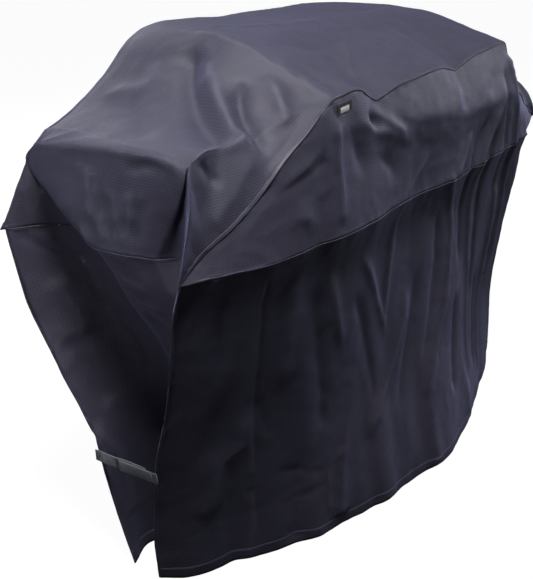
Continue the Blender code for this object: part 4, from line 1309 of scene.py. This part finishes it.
def cloth_finish(name, base):
    """Coated ripstop: fine plain weave, a raised thread grid, a soft sheen and worn ridges."""
    f = Finish(name)
    along, across, _ = f.parts(f.attribute("weave"))
    place = f.place()
    grid = f.math("MAXIMUM", thread_lines(f, along), thread_lines(f, across))
    yarn = f.times(*(f.math("SINE", f.times(run, 2 * math.pi / YARN)) for run in (along, across)))
    cloud = f.noise(place, 5.0, 3.0)
    mottle = f.noise(place, 38.0, 4.0, 0.6)
    tone = f.add(f.times(cloud, 0.55), f.times(mottle, 0.45))
    dark, light, thread, rubbed = (tuple(c * share + lift for c in base)
                                   for share, lift in ((0.80, 0.0), (1.24, 0.0), (2.0, 0.008), (1.9, 0.010)))
    colour = f.ramp(tone, ((0.34, dark), (0.66, light)))
    colour = f.mix(f.times(grid, 0.75), colour, thread)
    ridge = f.times(f.math("SUBTRACT", f.attribute("wear", "Fac"), 0.15), 0.75, clamp=True)
    colour = f.mix(f.times(ridge, f.add(mottle, 0.2)), colour, rubbed)
    dust = f.times(f.noise(place, 300.0, 2.0), f.noise(place, 14.0, 2.0))
    colour = f.mix(f.times(f.math("GREATER_THAN", dust, 0.44), 0.25), colour, (0.10, 0.10, 0.12))
    rough = f.add(f.times(mottle, 0.16), 0.47)
    normal = f.bump(f.add(f.times(grid, 0.6), f.times(yarn, 0.25)), 0.0003, 0.55)
    normal = f.bump(f.noise(place, 120.0, 3.0, 0.6), 0.0006, 0.35, under=normal)
    f.surface(Base_Color=colour, Roughness=rough, Normal=normal, Specular_IOR_Level=0.22, Sheen_Weight=0.20,
              Sheen_Roughness=0.40, Sheen_Tint=(0.52, 0.54, 1.0))
    return f.material


def binding_finish():
    """Seam cloth: the same coated cloth folded over, with a tighter, shinier face."""
    f = Finish("look_binding")
    place = f.place()
    tone = f.noise(place, 60.0, 3.0)
    colour = f.ramp(tone, ((0.3, (0.024, 0.0235, 0.036)), (0.7, (0.042, 0.041, 0.060))))
    normal = f.bump(f.noise(place, 900.0, 2.0), 0.0003, 0.5)
    normal = f.bump(f.noise(place, 90.0, 2.0), 0.0012, 0.5, under=normal)
    rough = f.add(f.times(tone, 0.2), 0.40)
    f.surface(Base_Color=colour, Roughness=rough, Normal=normal, Specular_IOR_Level=0.30, Sheen_Weight=0.2,
              Sheen_Roughness=0.4, Sheen_Tint=(0.55, 0.57, 1.0))
    return f.material


def webbing_finish(name, dark, light, pitch, rough):
    """Woven tape: picks across it, slight colour change from yarn to yarn."""
    f = Finish(name)
    place = f.place()
    _, along, up = f.parts(place)
    picks = f.math("SINE", f.times(along, 2 * math.pi / pitch))
    ribs = f.math("SINE", f.times(up, 2 * math.pi / (pitch * 1.3)))
    weave = f.times(picks, ribs)
    fuzz = f.noise(place, 700.0, 3.0, 0.7)
    tone = f.add(f.times(weave, 0.22), fuzz)
    colour = f.ramp(tone, ((0.25, dark), (0.75, light)))
    normal = f.bump(weave, 0.0003, 0.9)
    normal = f.bump(fuzz, 0.0004, 0.5, under=normal)
    f.surface(Base_Color=colour, Roughness=rough, Normal=normal, Specular_IOR_Level=0.30, Sheen_Weight=0.6,
              Sheen_Roughness=0.5, Sheen_Tint=(0.85, 0.87, 1.0))
    return f.material


def thread_finish():
    f = Finish("look_thread")
    place = f.place()
    ply = f.noise(place, 1500.0, 2.0)
    colour = f.ramp(ply, ((0.3, (0.034, 0.033, 0.048)), (0.7, (0.070, 0.069, 0.092))))
    f.surface(Base_Color=colour, Roughness=0.5, Normal=f.bump(ply, 0.0002, 0.6), Sheen_Weight=0.3)
    return f.material


def label_finish():
    """Damask label: dark ground, a pale bar with no lettering, and a fine rib."""
    f = Finish("look_label")
    x, down, face = f.parts(f.attribute("weave"))
    band = f.times(f.math("GREATER_THAN", down, 0.0075), f.math("LESS_THAN", down, 0.0185))
    inside = f.math("LESS_THAN", f.math("ABSOLUTE", x), 0.0150)
    bar = f.times(f.times(band, inside), face)
    satin = f.math("SINE", f.times(down, 2 * math.pi / 0.0007))
    place = f.place()
    fuzz = f.noise(place, 900.0, 2.0)
    ground = f.ramp(fuzz, ((0.3, (0.006, 0.006, 0.009)), (0.7, (0.014, 0.014, 0.019))))
    pale = f.ramp(fuzz, ((0.3, (0.70, 0.70, 0.72)), (0.7, (0.86, 0.86, 0.88))))
    colour = f.mix(f.times(bar, f.add(f.times(satin, 0.12), 0.85)), ground, pale)
    normal = f.bump(f.add(satin, f.times(bar, 2.0)), 0.00015, 0.8)
    f.surface(Base_Color=colour, Roughness=0.55, Normal=normal, Sheen_Weight=0.05, Specular_IOR_Level=0.25)
    return f.material


def make_finishes():
    return {
        "cloth": cloth_finish("look_cloth", CLOTH_BASE),
        "hem": cloth_finish("look_hem", CLOTH_BASE),
        "binding": binding_finish(),
        "webbing": webbing_finish("look_webbing", (0.085, 0.090, 0.115), (0.190, 0.198, 0.235), 0.0016, 0.72),
        "hook": webbing_finish("look_hook_tape", (0.020, 0.020, 0.026), (0.060, 0.060, 0.075), 0.0012, 0.45),
        "loop": webbing_finish("look_loop_tape", (0.030, 0.030, 0.038), (0.080, 0.080, 0.098), 0.0010, 0.90),
        "thread": thread_finish(),
        "label": label_finish(),
    }


# ---------------------------------------------------------------- studio

CAMERA, VIEW, LENS_MM = (-1.820, -1.1655, 1.350), (0.7236, 0.5493, -0.4179), 55.96


def studio():
    """Pale floor, plain world, soft lamps and the camera."""
    scene = bpy.context.scene
    world = bpy.data.worlds.new("studio")
    scene.world = world
    world.use_nodes = True
    tree = world.node_tree
    background = tree.nodes["Background"]
    background.inputs[0].default_value = (0.93, 0.95, 1.0, 1)
    background.inputs[1].default_value = 0.030
    seen = tree.nodes.new("ShaderNodeBackground")
    seen.inputs[0].default_value = (1, 1, 1, 1)
    camera_switch(tree, background.outputs[0], seen.outputs[0], tree.nodes["World Output"])
    stage_floor()
    area_light("key", (-0.85, -0.42, 3.0), (-0.1, 0.0, 0.85), 1.0, 98, (1.0, 0.99, 0.98))
    area_light("shelf", (-2.9, 0.25, 1.95), (-0.72, 0.0, 0.86), 0.60, 0.8, (1.0, 0.99, 0.98), spread=20)
    area_light("side", (3.1, -1.5, 1.9), (0.5, -0.25, 0.6), 1.2, 42, (0.97, 0.98, 1.0))
    area_light("rear", (0.9, 3.1, 2.3), (0.0, 0.3, 0.6), 1.6, 34, (0.97, 0.98, 1.0))
    camera = bpy.data.cameras.new("camera")
    camera.lens = LENS_MM
    eye = bpy.data.objects.new("camera", camera)
    eye.location = CAMERA
    aim(eye, Vector(CAMERA) + Vector(VIEW))
    scene.collection.objects.link(eye)
    scene.camera = eye
    scene.view_settings.view_transform = "Standard"


def camera_switch(tree, plain, seen, output):
    """Staging: what the camera sees straight on differs from what lights the cover."""
    path = tree.nodes.new("ShaderNodeLightPath")
    mix = tree.nodes.new("ShaderNodeMixShader")
    for k, source in enumerate((path.outputs["Is Camera Ray"], plain, seen)):
        tree.links.new(source, mix.inputs[k])
    tree.links.new(mix.outputs[0], output.inputs["Surface"])


def stage_floor():
    corners_xy = ((-30, -30), (30, -30), (30, 30), (-30, 30))
    mesh = mesh_from("floor", [(x, y, -0.001) for x, y in corners_xy], [(0, 1, 2, 3)])
    item = bpy.data.objects.new("floor", mesh)
    bpy.context.scene.collection.objects.link(item)
    f = Finish("studio_floor")
    f.surface(Base_Color=(0.07, 0.07, 0.08), Roughness=0.9)
    glow = f.node("ShaderNodeEmission")
    glow.inputs["Color"].default_value = (1, 1, 1, 1)
    glow.inputs["Strength"].default_value = 0.96
    added = f.node("ShaderNodeAddShader")
    f.link(f.shader.outputs[0], added.inputs[0])
    f.link(glow.outputs[0], added.inputs[1])
    camera_switch(f.tree, f.shader.outputs[0], added.outputs[0], f.tree.nodes["Material Output"])
    mesh.materials.append(f.material)


def area_light(name, place, target, size, power, colour, spread=180):
    light = bpy.data.lights.new(name, "AREA")
    light.shape = "DISK"
    light.size = size
    light.energy = power
    light.color = colour
    light.spread = math.radians(spread)
    lamp = bpy.data.objects.new(name, light)
    lamp.location = place
    aim(lamp, target)
    lamp.visible_glossy = spread == 180     # only wide lamps show in glossy reflections
    bpy.context.scene.collection.objects.link(lamp)


def aim(item, target):
    direction = Vector(target) - Vector(item.location)
    item.rotation_euler = direction.to_track_quat("-Z", "Y").to_euler()


# ---------------------------------------------------------------- the cover


def main():
    cloth = build_cloth()
    settle_signs(cloth)
    cloth.flat_places = cloth.places.copy()
    fold_cloth(cloth)
    cloth.places[:, 2] = np.maximum(cloth.places[:, 2], 0.0)
    cloth.side_normals = side_normals(cloth)
    cloth.wear = cloth_wear(cloth)
    finish = make_finishes()
    panels = make_panels(cloth, finish)
    hems = make_hems(cloth, finish)
    make_seams(cloth, finish)
    make_hem_threads(cloth, finish)
    make_straps(finish)
    make_label(finish)


main()
studio()
